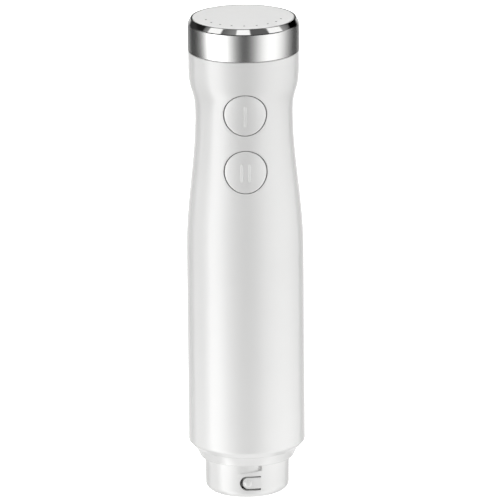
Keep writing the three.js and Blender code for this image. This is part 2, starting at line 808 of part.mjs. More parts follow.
/** Closing cap of the motor with the seat of the upper bearing. */
function motorEndCap() {
  const seat = bossRadius - bossWall;
  const spigot = canInside - fitGap;
  const rimBottom = canTop - endCapRim;
  const bossTip = upperBearingBottom + fitGap;
  return turned([
    [seat, bossTip],
    [bossRadius, bossTip],
    [bossRadius, canTop],
    [spigot - endCapRimWall, canTop],
    [spigot - endCapRimWall, rimBottom],
    [spigot, rimBottom],
    [spigot, canTop + fitGap],
    [motorRadius, canTop + fitGap],
    [motorRadius, endCapTop],
    [shaftRadius + runningGap, endCapTop],
    [shaftRadius + runningGap, endCapTop - endCapFloor],
    [seat, endCapTop - endCapFloor],
    [seat, bossTip],
  ], discSteps);
}

addPiece(motor, 'motor_end_cap', motorEndCap(), 'darkPlastic');
const upperBearing = ringSolid(bearingInner, bearingOuter, upperBearingBottom, upperBearingTop);
addPiece(motor, 'bearing_upper', upperBearing, 'brass');

/** Plate across the can that holds the two brush guides. */
function brushHolder() {
  const bore = bossRadius + fitGap;
  const plate = ringSolid(bore, canInside - fitGap, brushPlateBottom, brushPlateTop);
  const half = brushWidth / 2 + contactGap;
  const guides = [-1, 1].map((side) => {
    const outside = block(
      [side * bore, -half - guideWall, brushBottom - guideWall - contactGap],
      [side * (bore + brushLength), half + guideWall, brushPlateBottom + contactGap],
    );
    const inside = block(
      [side * (bore - overshoot), -half, brushBottom - contactGap],
      [side * (bore + brushLength + overshoot), half, brushBottom + brushHeight + contactGap],
    );
    return cut(outside, inside);
  });
  return join(plate, ...guides);
}

addPiece(motor, 'brush_holder', brushHolder(), 'darkPlastic');

[1, -1].forEach((side, index) => {
  const inner = commutatorRadius + contactGap;
  const brush = block(
    [side > 0 ? inner : -inner - brushLength, -brushWidth / 2, brushBottom],
    [side > 0 ? inner + brushLength : -inner, brushWidth / 2, brushBottom + brushHeight],
  );
  addPiece(motor, `brush_${index + 1}`, brush, 'ferrite');
});

const damperTop = canTop - endCapRim;
const damper = ringSolid(motorRadius + fitGap, trayRadius, damperTop - damperHeight, damperTop, discSteps);
addPiece(motor, 'motor_damper', damper, 'rubber');

// ---------------------------------------------------------------- rotor and coupling

const rotor = new THREE.Group();
handle.add(rotor);

const shaftBottom = couplingTip + couplingLength / 2;
const shaft = rod(shaftRadius, shaftBottom, endCapTop - endCapFloor, [0, 0], insideSteps);
addPiece(rotor, 'rotor_shaft', shaft, 'steel');

/** Laminated core with open winding slots, seated on the shaft. */
function rotorCore() {
  const body = ringSolid(shaftRadius + contactGap, coreRadius, coreBottom, coreTop, discSteps);
  const slots = azimuths(coreSlots, 90).map((angle) => (
    spoke(
      coreHub,
      coreRadius + overshoot,
      coreSlotWidth,
      coreBottom - overshoot,
      coreTop + overshoot,
      angle,
    )
  ));
  return cut(body, ...slots);
}

addPiece(rotor, 'rotor_core', rotorCore(), 'steel');

/** Rounded end turns of the winding, on one end of the core. */
function endTurns(near, far) {
  const inner = shaftRadius + runningGap;
  const outer = coreRadius - windingStep;
  const slope = (far - near) / 3;
  return turned([
    [inner, near],
    [outer, near],
    [outer, far - slope],
    [outer - windingStep, far],
    [inner + windingStep, far],
    [inner, far - slope],
    [inner, near],
  ]);
}

addPiece(rotor, 'winding_lower', endTurns(coreBottom - contactGap, coreBottom - windingHeight), 'copper');
addPiece(rotor, 'winding_upper', endTurns(coreTop + contactGap, coreTop + windingHeight), 'copper');
const commutator = ringSolid(shaftRadius + contactGap, commutatorRadius, commutatorBottom, commutatorTop);
addPiece(rotor, 'commutator', commutator, 'copper');

/** Lobed drive coupling, pressed on the lower end of the shaft. */
function driveCoupling() {
  const root = shaftRadius + couplingWall;
  const crest = couplingTip + couplingLength;
  const body = rod(root, couplingTip, crest, [0, 0], insideSteps);
  const lobes = azimuths(couplingLobes, 0).map((angle) => (
    rod(couplingLobe, couplingTip, crest - couplingLength / 4, around(root - contactGap, angle))
  ));
  const boreBottom = shaftBottom - contactGap;
  const bore = rod(shaftRadius + contactGap, boreBottom, crest + overshoot, [0, 0], insideSteps);
  return cut(join(body, ...lobes), bore);
}

addPiece(rotor, 'drive_coupling', driveCoupling(), 'darkPlastic');

// ---------------------------------------------------------------- battery

const battery = new THREE.Group();
handle.add(battery);
const cellAngles = azimuths(cellCount, -90);
const leadAngles = [-30, -150];

['right', 'left'].forEach((side, index) => {
  const middle = 180 * index;
  const shape = sector(lipInside, lipRadius, middle - cradleSpan / 2, middle + cradleSpan / 2);
  const cradle = raised(shape, lipTop + fitGap, upperTrayTop);
  addPiece(battery, `cradle_${side}`, cradle, 'greyPlastic');
});

/** Strip between the ends of two neighbouring cells, or the groove for it when grown. */
function cellStrap([firstAngle, secondAngle], bottom, top, grow = 0) {
  const [x0, y0] = around(cellCircle, firstAngle);
  const [x1, y1] = around(cellCircle, secondAngle);
  const length = Math.hypot(x1 - x0, y1 - y0) + terminalRadius + 2 * grow;
  const geometry = new THREE.BoxGeometry(length, strapWidth + 2 * grow, top - bottom);
  geometry.rotateZ(Math.atan2(y1 - y0, x1 - x0));
  geometry.translate((x0 + x1) / 2, (y0 + y1) / 2, (bottom + top) / 2);
  return solidOf(geometry);
}

/** Tray with a pocket for each cell end, a hole for each motor lead and a strap groove. */
function cellTray(bottom, top, pocketBottom, pocketTop, strapEnds) {
  const disc = rod(trayRadius, bottom, top, [0, 0], discSteps);
  const pocketsForCells = cellAngles.map((angle) => (
    rod(cellRadius + fitGap, pocketBottom, pocketTop, around(cellCircle, angle), insideSteps)
  ));
  const leadHoles = leadAngles.map((angle) => (
    rod(leadRadius + 2 * fitGap, bottom - overshoot, top + overshoot, around(leadCircle, angle))
  ));
  const centre = rod(cellCircle - terminalRadius - trayWindowWall, bottom - overshoot, top + overshoot);
  const groove = cellStrap(strapEnds, pocketBottom, pocketTop, fitGap);
  return cut(disc, ...pocketsForCells, ...leadHoles, centre, groove);
}

const lowerStrapEnds = [cellAngles[0], cellAngles[1]];
const upperStrapEnds = [cellAngles[1], cellAngles[2]];
const lowerTray = cellTray(
  lowerTrayBottom,
  lowerTrayTop,
  lowerTrayTop - trayPocket,
  lowerTrayTop + overshoot,
  lowerStrapEnds,
);
addPiece(battery, 'battery_tray_lower', lowerTray, 'greyPlastic');
const upperTray = cellTray(
  upperTrayBottom,
  upperTrayTop,
  upperTrayBottom - overshoot,
  upperTrayBottom + trayPocket,
  upperStrapEnds,
);
addPiece(battery, 'battery_tray_upper', upperTray, 'greyPlastic');

cellAngles.forEach((angle, index) => {
  const cell = rod(cellRadius, cellBottom, cellTop, around(cellCircle, angle), insideSteps);
  addPiece(battery, `battery_cell_${index + 1}`, cell, 'cellWrap');
});

const lowerStrapTop = cellBottom - contactGap;
const upperStrapBottom = cellTop + contactGap;
const lowerStrap = cellStrap(lowerStrapEnds, lowerStrapTop - strapThickness, lowerStrapTop);
const upperStrap = cellStrap(upperStrapEnds, upperStrapBottom, upperStrapBottom + strapThickness);
addPiece(battery, 'cell_strap_lower', lowerStrap, 'steel');
addPiece(battery, 'cell_strap_upper', upperStrap, 'steel');

const powerBoardRadius = carrierRadius - carrierRing - fitGap;
const powerBoard = rod(powerBoardRadius, powerBoardBottom, powerBoardTop, [0, 0], discSteps);
addPiece(battery, 'power_board', powerBoard, 'board');

leadAngles.forEach((angle, index) => {
  const [x, y] = around(leadCircle, angle);
  const route = new THREE.LineCurve3(
    new THREE.Vector3(x, y, endCapTop + contactGap),
    new THREE.Vector3(x, y, powerBoardBottom - contactGap),
  );
  const section = new THREE.Shape();
  section.absarc(0, 0, leadRadius, 0, 2 * Math.PI, false);
  const geometry = new THREE.ExtrudeGeometry(section, {
    extrudePath: route,
    steps: 1,
    curveSegments: smallSteps,
  });
  addPiece(battery, `motor_lead_${index + 1}`, solidOf(geometry), index === 0 ? 'copper' : 'rubber');
});

// ---------------------------------------------------------------- boards and buttons

const electronics = new THREE.Group();
handle.add(electronics);

/** Inner carrier: a foot ring on the battery, a wall for the main board and a top ring. */
function boardCarrier() {
  const inside = carrierRadius - carrierRing;
  const footRing = ringSolid(inside, carrierRadius, carrierBottom, carrierBottom + carrierFoot, discSteps);
  const topRing = ringSolid(inside, carrierRadius, carrierTop - carrierFoot, carrierTop, discSteps);
  const half = halfChord(carrierRadius, carrierFront) - fitGap;
  const wall = block([-half, carrierFront, carrierBottom], [half, carrierBack, carrierTop]);
  const boardSpace = rod(inside, carrierBottom - overshoot, carrierBottom + carrierFoot, [0, 0], discSteps);
  return join(footRing, topRing, cut(wall, boardSpace));
}

addPiece(electronics, 'board_carrier', boardCarrier(), 'greyPlastic');

const boardHalf = halfChord(carrierRadius, boardFront) - boardInset;
const mainBoard = block([-boardHalf, boardFront, boardBottom], [boardHalf, boardBack, boardTop]);
addPiece(electronics, 'main_board', mainBoard, 'board');

/** Pierced plate that keeps the button flanges from going too far in. */
function buttonFrame() {
  const half = halfChord(carrierRadius, frameFront) - frameMargin;
  const plate = block([-half, frameFront, boardBottom], [half, frameBack, boardTop]);
  const openings = buttonHeights.map((height) => (
    crossRod(pocketRadius - capWall, frameFront - overshoot, frameBack + overshoot, [0, height])
  ));
  const posts = [];
  for (const x of [-half + frameMargin, half - frameMargin]) {
    for (const z of [boardBottom + frameMargin, boardTop - frameMargin]) {
      const back = boardFront - contactGap;
      posts.push(crossRod(frameMargin, frameBack - contactGap, back, [x, z], smallSteps));
    }
  }
  return join(cut(plate, ...openings), ...posts);
}

addPiece(electronics, 'button_frame', buttonFrame(), 'greyPlastic');

/** Raised bars of a button's mark, as cutters through the face. */
function markBars(count, height) {
  const offsets = count === 1 ? [0] : [-barSpacing / 2, barSpacing / 2];
  return offsets.map((x) => block(
    [x - barWidth / 2, frontSide, height - barHeight / 2],
    [x + barWidth / 2, pocketFloor - capWall, height + barHeight / 2],
  ));
}

/** Push button whose face follows the sleeve, with a flange behind the wall and a stem. */
function buttonCap(count, height) {
  const blank = crossRod(capRadius, frontSide, flangeBack, [0, height], buttonSteps).intersect(envelope);
  const flange = crossRod(flangeRadius, flangeFront, flangeBack, [0, height], discSteps);
  const hollow = crossRod(pocketRadius, pocketFloor, flangeBack + overshoot, [0, height]);
  const stemBack = plungerFront - contactGap;
  const stem = crossRod(stemRadius, pocketFloor - contactGap, stemBack, [0, height], smallSteps);
  const raisedFace = sleeveEnvelope().translate([0, -barRise, 0]);
  const bars = markBars(count, height).map((bar) => bar.intersect(raisedFace));
  return join(cut(join(blank, flange), hollow), stem, ...bars);
}

buttonHeights.forEach((height, index) => {
  addPiece(electronics, `button_${index + 1}`, buttonCap(index + 1, height), 'whitePlastic');
  const half = switchSize / 2;
  const wellBack = boardFront - switchFloor;
  const wellFront = switchFront - overshoot;
  const well = crossRod(plungerRadius + contactGap, wellFront, wellBack, [0, height], smallSteps);
  const body = block([-half, switchFront, height - half], [half, boardFront - contactGap, height + half]);
  addPiece(electronics, `switch_body_${index + 1}`, cut(body, well), 'darkPlastic');
  const plungerBack = wellBack - buttonTravel - contactGap;
  const plunger = crossRod(plungerRadius, plungerFront, plungerBack, [0, height], smallSteps);
  addPiece(electronics, `switch_plunger_${index + 1}`, plunger, 'darkPlastic');
});

/** Finned heat sink behind the carrier wall. */
function heatSink() {
  const front = carrierBack + fitGap;
  const bottom = powerBoardTop + fitGap;
  const top = bottom + sinkHeight;
  const half = sinkWidth / 2;
  const plate = block([-half, front, bottom], [half, front + finRoot, top]);
  const pitch = (sinkWidth - finThickness) / (sinkFins - 1);
  const fins = [];
  for (let i = 0; i < sinkFins; i += 1) {
    const x = -half + pitch * i;
    const clear = Math.abs(x + finThickness / 2) - finThickness / 2 - transistorWidth / 2;
    if (clear < transistorRoom) continue;
    fins.push(block([x, front + finRoot - contactGap, bottom], [x + finThickness, front + sinkDepth, top]));
  }
  return join(plate, ...fins);
}

addPiece(electronics, 'heat_sink', heatSink(), 'aluminium');
const transistorFront = carrierBack + fitGap + finRoot + contactGap;
const transistorBottom = powerBoardTop + fitGap + (sinkHeight - transistorHeight) / 2;
const transistor = block(
  [-transistorWidth / 2, transistorFront, transistorBottom],
  [transistorWidth / 2, transistorFront + transistorDepth, transistorBottom + transistorHeight],
);
addPiece(electronics, 'transistor', transistor, 'darkPlastic');

// ---------------------------------------------------------------- charging port

const charging = new THREE.Group();
handle.add(charging);

/** Oval well let into the back of the sleeve, with the socket's hole in its floor. */
function chargeBezel() {
  const tube = portSolid(bezelOuterWidth, bezelOuterHeight, bezelBack, rearSide).intersect(envelope);
  const flangeOut = halfChord(boreRadius, bezelOuterWidth / 2 + bezelFlange) - fitGap;
  const flange = portSolid(
    bezelOuterWidth + 2 * bezelFlange,
    bezelOuterHeight + 2 * bezelFlange,
    flangeOut - bezelFlangeThickness,
    flangeOut,
  );
  const mouth = portSolid(portWidth, portOpening, socketFront, rearSide + overshoot);
  const hole = portSolid(
    socketWidth + 2 * fitGap,
    socketHeight + 2 * fitGap,
    bezelBack - overshoot,
    rearSide + overshoot,
  );
  return cut(join(tube, flange), mouth, hole);
}

addPiece(charging, 'charge_bezel', chargeBezel(), 'darkPlastic');

/** Steel shell of the socket, closed at the back, with its contact tongue. */
function chargeSocket() {
  const back = chargeBoardFront + contactGap;
  const shell = portSolid(socketWidth, socketHeight, back, socketFront);
  const inside = portSolid(
    socketWidth - 2 * socketWall,
    socketHeight - 2 * socketWall,
    back + socketFloor,
    bodyRadius,
  );
  const tongue = block(
    [-socketWidth / 3, back + socketFloor - contactGap, portHeight - tongueThickness / 2],
    [socketWidth / 3, socketFront - tongueInset, portHeight + tongueThickness / 2],
  );
  return join(cut(shell, inside), tongue);
}

addPiece(charging, 'charge_socket', chargeSocket(), 'steel');
const chargeBoard = block(
  [-chargeBoardWidth / 2, chargeBoardBack, portHeight - chargeBoardHeight / 2],
  [chargeBoardWidth / 2, chargeBoardFront, portHeight + chargeBoardHeight / 2],
);
addPiece(charging, 'charge_board', chargeBoard, 'board');

// ---------------------------------------------------------------- speed ring and top

const crown = new THREE.Group();
handle.add(crown);

/** Fixed hub that plugs into the sleeve's mouth and carries the ring and the cap. */
function topFrame() {
  const plugInside = plugRadius - plugWall;
  const grooveMiddle = (mouthHeight + plugTop) / 2;
  const grooveHalf = sealHeight / 2 + fitGap;
  const grooveRadius = plugRadius - sealWidth - fitGap;
  const hubTop = topUnderside - fitGap;
  return turned([
    [plugInside, mouthHeight],
    [plugRadius, mouthHeight],
    [plugRadius, grooveMiddle - grooveHalf],
    [grooveRadius, grooveMiddle - grooveHalf],
    [grooveRadius, grooveMiddle + grooveHalf],
    [plugRadius, grooveMiddle + grooveHalf],
    [plugRadius, plugTop],
    [hubRadius, plugTop],
    [hubRadius, hubTop],
    [hubInside, hubTop],
    [hubInside, hubFloorTop],
    [hubInside - hubFloorWidth, hubFloorTop],
    [hubInside - hubFloorWidth, hubFloorTop - hubFloor],
    [hubInside, hubFloorTop - hubFloor],
    [hubInside, plugTop],
    [plugInside, plugTop - hubWall],
    [plugInside, mouthHeight],
  ], shellSteps);
}

addPiece(crown, 'top_frame', topFrame(), 'greyPlastic');
const topSealMiddle = (mouthHeight + plugTop) / 2;
const topSeal = ringSolid(
  plugRadius - sealWidth,
  plugRadius,
  topSealMiddle - sealHeight / 2,
  topSealMiddle + sealHeight / 2,
  discSteps,
);
addPiece(crown, 'top_seal', topSeal, 'rubber');
const glideBottom = plugTop + fitGap;
const glideTop = glideBottom + glideThickness;
const glide = ringSolid(hubRadius + fitGap, plugRadius, glideBottom, glideTop, discSteps);
addPiece(crown, 'glide_ring', glide, 'darkPlastic');

/** Steel speed ring with a bevelled upper edge. */
function speedRing() {
  const lipLand = ringWall - chamferWidth;
  return turned([
    [ringBore, ringBottom],
    [ringRadius - edgeRound / 2, ringBottom],
    [ringRadius, ringBottom + edgeRound / 2],
    [ringRadius, topHeight - chamferHeight],
    [ringBore + lipLand, topHeight - edgeRound / 4],
    [ringBore + lipLand / 2, topHeight],
    [ringBore, topHeight - edgeRound / 4],
    [ringBore, ringBottom],
  ], shellSteps);
}

addPiece(crown, 'speed_ring', speedRing(), 'brushedSteel');

/** Plastic carrier bonded inside the speed ring, with a window for the dial magnet. */
function ringCarrier() {
  const tube = ringSolid(dialInside, dialRadius, dialBottom, dialTop, shellSteps);
  return cut(tube, magnetSolid(magnetBlock + 2 * fitGap, 2 * ringWall + 2 * carrierWall));
}

/** A block on the carrier's middle radius at the magnet's azimuth. */
function magnetSolid(size, depth) {
  const radius = (dialInside + dialRadius) / 2;
  const bottom = (dialBottom + dialTop - size) / 2;
  return spoke(radius - depth / 2, radius + depth / 2, size, bottom, bottom + size, magnetAzimuth);
}

addPiece(crown, 'ring_carrier', ringCarrier(), 'greyPlastic');
addPiece(crown, 'dial_magnet', magnetSolid(magnetBlock, magnetDepth), 'ferrite');

/** Azimuths of the indicator dots, symmetric about the front. */
const dotAngles = Array.from({ length: dotCount }, (_, i) => -90 + dotPitch * (i - (dotCount - 1) / 2));

/** White top disc with a skirt that snaps into the hub, pierced for the indicators. */
function topCap() {
  const skirtBottom = hubFloorTop + fitGap;
  const disc = turned([
    [0, topUnderside],
    [skirtBore, topUnderside],
    [skirtBore, skirtBottom],
    [skirtRadius, skirtBottom],
    [skirtRadius, topUnderside],
    [topRadius, topUnderside],
    [topRadius, topHeight - edgeRound / 2],
    [topRadius - edgeRound / 2, topHeight],
    [0, topHeight],
  ], shellSteps);
  const holes = dotAngles.map((angle) => (
    rod(
      dotRadius + dotGap,
      topUnderside - overshoot,
      topHeight + overshoot,
      around(dotCircle, angle),
      dotSteps,
    )
  ));
  return cut(disc, ...holes);
}

addPiece(crown, 'top_cap', topCap(), 'whitePlastic');

const ledBoardBottom = hubFloorTop + fitGap;
const ledBoardTop = ledBoardBottom + ledBoardThickness;
const ledBoard = rod(skirtBore - fitGap, ledBoardBottom, ledBoardTop, [0, 0], discSteps);
addPiece(crown, 'led_board', ledBoard, 'board');

/** Light guide: an arc with one peg for each indicator dot. */
function lightGuide() {
  const bottom = ledBoardTop + fitGap;
  const arcEnd = dotPitch * ((dotCount - 1) / 2) + dotPitch / 3;
  const shape = sector(dotCircle - guideHalfWidth, dotCircle + guideHalfWidth, -90 - arcEnd, -90 + arcEnd);
  const arc = raised(shape, bottom, bottom + guideThickness, dotCount);
  const pegs = dotAngles.map((angle) => (
    rod(dotRadius, bottom + contactGap, topHeight - contactGap / 2, around(dotCircle, angle), dotSteps)
  ));
  return join(arc, ...pegs);
}

addPiece(crown, 'light_guide', lightGuide(), 'smoked');

export default handle;
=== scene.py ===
"""Motor handle of a cordless immersion blender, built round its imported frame.

The looks of every piece: the waisted white sleeve with its two flush buttons, the bayonet
collar with its spring tongue, the brushed speed ring, the top disc with its row of indicator
lights, the charging port at the back, and the works inside. Sizes in the classes are in
millimetres; meshes are in metres, +Z up, with the buttons facing -Y.
"""

from __future__ import annotations

import logging
import math
from dataclasses import dataclass, field
from enum import Enum
from typing import Callable, Iterable, Mapping, Sequence

import bmesh
import bpy
from mathutils import Matrix, Vector


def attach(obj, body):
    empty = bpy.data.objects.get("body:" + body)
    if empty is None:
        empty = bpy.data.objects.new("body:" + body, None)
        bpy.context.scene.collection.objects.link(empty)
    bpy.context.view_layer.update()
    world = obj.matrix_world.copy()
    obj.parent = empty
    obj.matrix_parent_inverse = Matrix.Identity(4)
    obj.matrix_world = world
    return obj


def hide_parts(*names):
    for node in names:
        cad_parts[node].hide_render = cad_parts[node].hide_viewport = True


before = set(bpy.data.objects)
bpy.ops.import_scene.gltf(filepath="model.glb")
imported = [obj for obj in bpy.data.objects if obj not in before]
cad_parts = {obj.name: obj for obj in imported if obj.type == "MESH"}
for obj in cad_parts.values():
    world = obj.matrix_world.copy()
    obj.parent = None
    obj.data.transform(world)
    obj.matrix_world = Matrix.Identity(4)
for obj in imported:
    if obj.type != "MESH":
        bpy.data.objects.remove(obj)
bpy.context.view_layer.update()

MM = 0.001
MERGE = 6e-7  # points nearer than this many metres are one point
SHORTEST = 1e-7  # edges shorter than this many metres are dissolved
CREASE = 38.0  # edges sharper than this many degrees stay crisp
SLIGHT = 0.02  # a step too small to show, in millimetres
NOISE_LOW, NOISE_HIGH = 0.3, 0.7  # nearly all of a noise pattern lies between these
SHINIEST = 0.02  # no finish is smoother than this roughness
FIRST, SECOND, MIXED = 6, 7, 2  # a mix node's two colour inputs and its colour output
LOG = logging.getLogger("blender_handle")

Flat = tuple[float, float]
Outline = Callable[[float, float], float]
Row = Callable[[float], Flat]
Wall = Sequence[tuple[float, float]]


class Body(Enum):
    """The rigid bodies that pieces ride on."""

    HANDLE = "handle"
    DIAL = "speed_dial"
    UPPER = "upper_button"
    LOWER = "lower_button"
    ROTOR = "rotor"
    LATCH = "latch"


class Side(Enum):
    """Which side of the housing an opening is cut through, as the sign of Y."""

    FRONT = -1
    BACK = 1


# ------------------------------------------------------------------ small tools


def linear(hex_colour: str) -> tuple[float, float, float, float]:
    """Turns an sRGB hex colour to linear light.

    Args:
        hex_colour: six hex digits, with or without a leading #.

    Returns:
        Red, green, blue and an alpha of 1.
    """
    digits = hex_colour.lstrip("#")
    parts = [int(digits[i : i + 2], 16) / 255 for i in (0, 2, 4)]
    light = [p / 12.92 if p <= 0.04045 else ((p + 0.055) / 1.055) ** 2.4 for p in parts]
    return (light[0], light[1], light[2], 1.0)


def node(
    tree: bpy.types.NodeTree, kind: str, inputs: Mapping[str | int, object] | None = None, **settings: object
) -> bpy.types.Node:
    """Adds a node with its settings and links.

    Args:
        tree: the node tree that gets the node.
        kind: the node's type name.
        inputs: socket name or index, to a value, a socket or a node whose first output is used.
        **settings: properties of the node itself.

    Returns:
        The new node.
    """
    made = tree.nodes.new(kind)
    for key, value in settings.items():
        setattr(made, key, value)
    for key, value in (inputs or {}).items():
        if isinstance(value, bpy.types.Node):
            value = value.outputs[0]
        if isinstance(value, bpy.types.NodeSocket):
            tree.links.new(value, made.inputs[key])
        else:
            made.inputs[key].default_value = value
    return made


def spread(start: float, end: float, cells: int) -> list[float]:
    """Evenly spaced values from start to end, both included."""
    return [start + (end - start) * i / cells for i in range(cells + 1)]


def nearest(values: Sequence[float], wanted: float) -> int:
    """The number of the value that is nearest to the wanted one."""
    return min(range(len(values)), key=lambda i: abs(values[i] - wanted))


def arc(centre: Flat, radius: float, start: float, end: float, cells: int) -> list[Flat]:
    """Points along an arc.

    Args:
        centre: the arc's centre.
        radius: its radius.
        start: first angle in degrees, from the first axis.
        end: last angle in degrees.
        cells: number of chords.

    Returns:
        The points, both ends included.
    """
    turns = [math.radians(a) for a in spread(start, end, cells)]
    return [(centre[0] + radius * math.cos(t), centre[1] + radius * math.sin(t)) for t in turns]


def on_round(radius: float, azimuth: float, height: float) -> Vector:
    """A point by radius, degrees round from the front (-Y) towards +X, and height."""
    turn = math.radians(azimuth)
    return Vector((radius * math.sin(turn), -radius * math.cos(turn), height))


def boundary(outline: Outline, centre: Flat, angle: float) -> Flat:
    """Where a ray from inside an outline crosses it.

    Args:
        outline: signed distance of a point from the outline, negative inside.
        centre: start of the ray.
        angle: its direction in radians.

    Returns:
        The crossing point.
    """
    near, far = 0.0, 60.0  # millimetres: no outline reaches further
    halvings = 40
    for _ in range(halvings):
        middle = (near + far) / 2
        x, z = centre[0] + middle * math.cos(angle), centre[1] + middle * math.sin(angle)
        near, far = (middle, far) if outline(x, z) < 0 else (near, middle)
    return centre[0] + near * math.cos(angle), centre[1] + near * math.sin(angle)


def slotted(centre: Flat, half_length: float, radius: float) -> Outline:
    """A stadium lying along X, as a signed distance.

    Args:
        centre: its middle.
        half_length: half the straight part; 0 gives a circle.
        radius: the radius of its ends.

    Returns:
        The distance function.
    """

    def distance(x: float, z: float) -> float:
        """How far outside the stadium a point lies."""
        beyond = max(abs(x - centre[0]) - half_length, 0.0)
        return math.hypot(beyond, z - centre[1]) - radius

    return distance


def between(first: Sequence[Flat], second: Sequence[Flat], share: float) -> list[Flat]:
    """Points a share of the way from one row of points to another."""
    return [(a[0] + (b[0] - a[0]) * share, a[1] + (b[1] - a[1]) * share) for a, b in zip(first, second)]


# ------------------------------------------------------------------ finishes


@dataclass(frozen=True)
class Finish:
    """A finish that covers a whole surface. Subclasses add what the real surface shows."""

    name: str
    colour: str
    roughness: float
    second: str = "#FFFFFF"
    rubbed: float = 0.06

    def material(self) -> bpy.types.Material:
        """Finds the Blender material, or makes it the first time.

        Returns:
            The material.
        """
        known = bpy.data.materials.get(self.name)
        if known:
            return known
        made = bpy.data.materials.new(self.name)
        made.use_nodes = True
        shader = made.node_tree.nodes["Principled BSDF"]
        shader.inputs["Base Color"].default_value = linear(self.colour)
        shader.inputs["Roughness"].default_value = self.roughness
        self.dress(made.node_tree, shader)
        return made

    def dress(self, tree: bpy.types.NodeTree, shader: bpy.types.Node) -> None:
        """Adds the detail of the real surface to the plain shader.

        Args:
            tree: the material's node tree.
            shader: its shader.
        """

    def vary(
        self,
        tree: bpy.types.NodeTree,
        shader: bpy.types.Node,
        tinted_by: bpy.types.Node,
        rubbed_by: bpy.types.Node,
    ) -> None:
        """Lets one pattern swing the colour and one the gloss.

        Args:
            tree: the material's node tree.
            shader: its shader.
            tinted_by: the pattern that mixes the second colour in.
            rubbed_by: the pattern that moves the roughness up and down.
        """
        colours = {0: tinted_by, FIRST: linear(self.colour), SECOND: linear(self.second)}
        tint = node(tree, "ShaderNodeMix", colours, data_type="RGBA")
        tree.links.new(tint.outputs[MIXED], shader.inputs["Base Color"])
        gloss = node(
            tree,
            "ShaderNodeMapRange",
            {
                "Value": rubbed_by,
                "From Min": NOISE_LOW,
                "From Max": NOISE_HIGH,
                "To Min": max(self.roughness - self.rubbed, SHINIEST),
                "To Max": self.roughness + self.rubbed,
            },
        )
        tree.links.new(gloss.outputs[0], shader.inputs["Roughness"])


@dataclass(frozen=True)
class Moulded(Finish):
    """Injection-moulded plastic or rubber: faint flow in the colour, and the tool's texture."""

    rubbed: float = 0.05
    ior: float = 1.53
    flow: float = 22.0
    wear: float = 5.5
    grain: float = 0.35
    grain_depth: float = 0.004
    wave: float = 7.0
    wave_depth: float = 0.0
    coat: float = 0.0
    coat_ior: float = 1.5
    coat_roughness: float = 0.06

    def dress(self, tree: bpy.types.NodeTree, shader: bpy.types.Node) -> None:
        """Adds colour flow, uneven gloss, tool grain and, on gloss mouldings, a slow surface wave.

        Args:
            tree: the material's node tree.
            shader: its shader.
        """
        shader.inputs["IOR"].default_value = self.ior
        shader.inputs["Coat Weight"].default_value = self.coat
        shader.inputs["Coat IOR"].default_value = self.coat_ior
        shader.inputs["Coat Roughness"].default_value = self.coat_roughness
        spot = node(tree, "ShaderNodeTexCoord").outputs["Object"]
        flow = node(tree, "ShaderNodeTexNoise", {"Vector": spot, "Scale": 1 / (self.flow * MM), "Detail": 3.0})
        wear = node(tree, "ShaderNodeTexNoise", {"Vector": spot, "Scale": 1 / (self.wear * MM), "Detail": 6.0})
        self.vary(tree, shader, flow, wear)
        grain = node(tree, "ShaderNodeTexNoise", {"Vector": spot, "Scale": 1 / (self.grain * MM), "Detail": 2.0})
        bump = node(tree, "ShaderNodeBump", {"Height": grain, "Distance": self.grain_depth * MM, "Strength": 1.0})
        if self.wave_depth:
            wave = node(tree, "ShaderNodeTexNoise", {"Vector": spot, "Scale": 1 / (self.wave * MM), "Detail": 0.0})
            slow = {"Height": wave, "Distance": self.wave_depth * MM, "Strength": 1.0, "Normal": bump}
            bump = node(tree, "ShaderNodeBump", slow)
        tree.links.new(bump.outputs[0], shader.inputs["Normal"])


@dataclass(frozen=True)
class Metal(Finish):
    """Bare metal, evenly worked: a fine cloud in its gloss and a tooth of a given size."""

    tooth: float = 0.25
    tooth_depth: float = 0.003
    cloud: float = 9.0

    def dress(self, tree: bpy.types.NodeTree, shader: bpy.types.Node) -> None:
        """Adds metallic colour, clouded gloss and a shallow tooth.

        Args:
            tree: the material's node tree.
            shader: its shader.
        """
        shader.inputs["Metallic"].default_value = 1.0
        spot = node(tree, "ShaderNodeTexCoord").outputs["Object"]
        cloud = node(tree, "ShaderNodeTexNoise", {"Vector": spot, "Scale": 1 / (self.cloud * MM), "Detail": 5.0})
        self.vary(tree, shader, cloud, cloud)
        tooth = node(tree, "ShaderNodeTexNoise", {"Vector": spot, "Scale": 1 / (self.tooth * MM), "Detail": 3.0})
        bump = node(tree, "ShaderNodeBump", {"Height": tooth, "Distance": self.tooth_depth * MM, "Strength": 1.0})
        tree.links.new(bump.outputs[0], shader.inputs["Normal"])


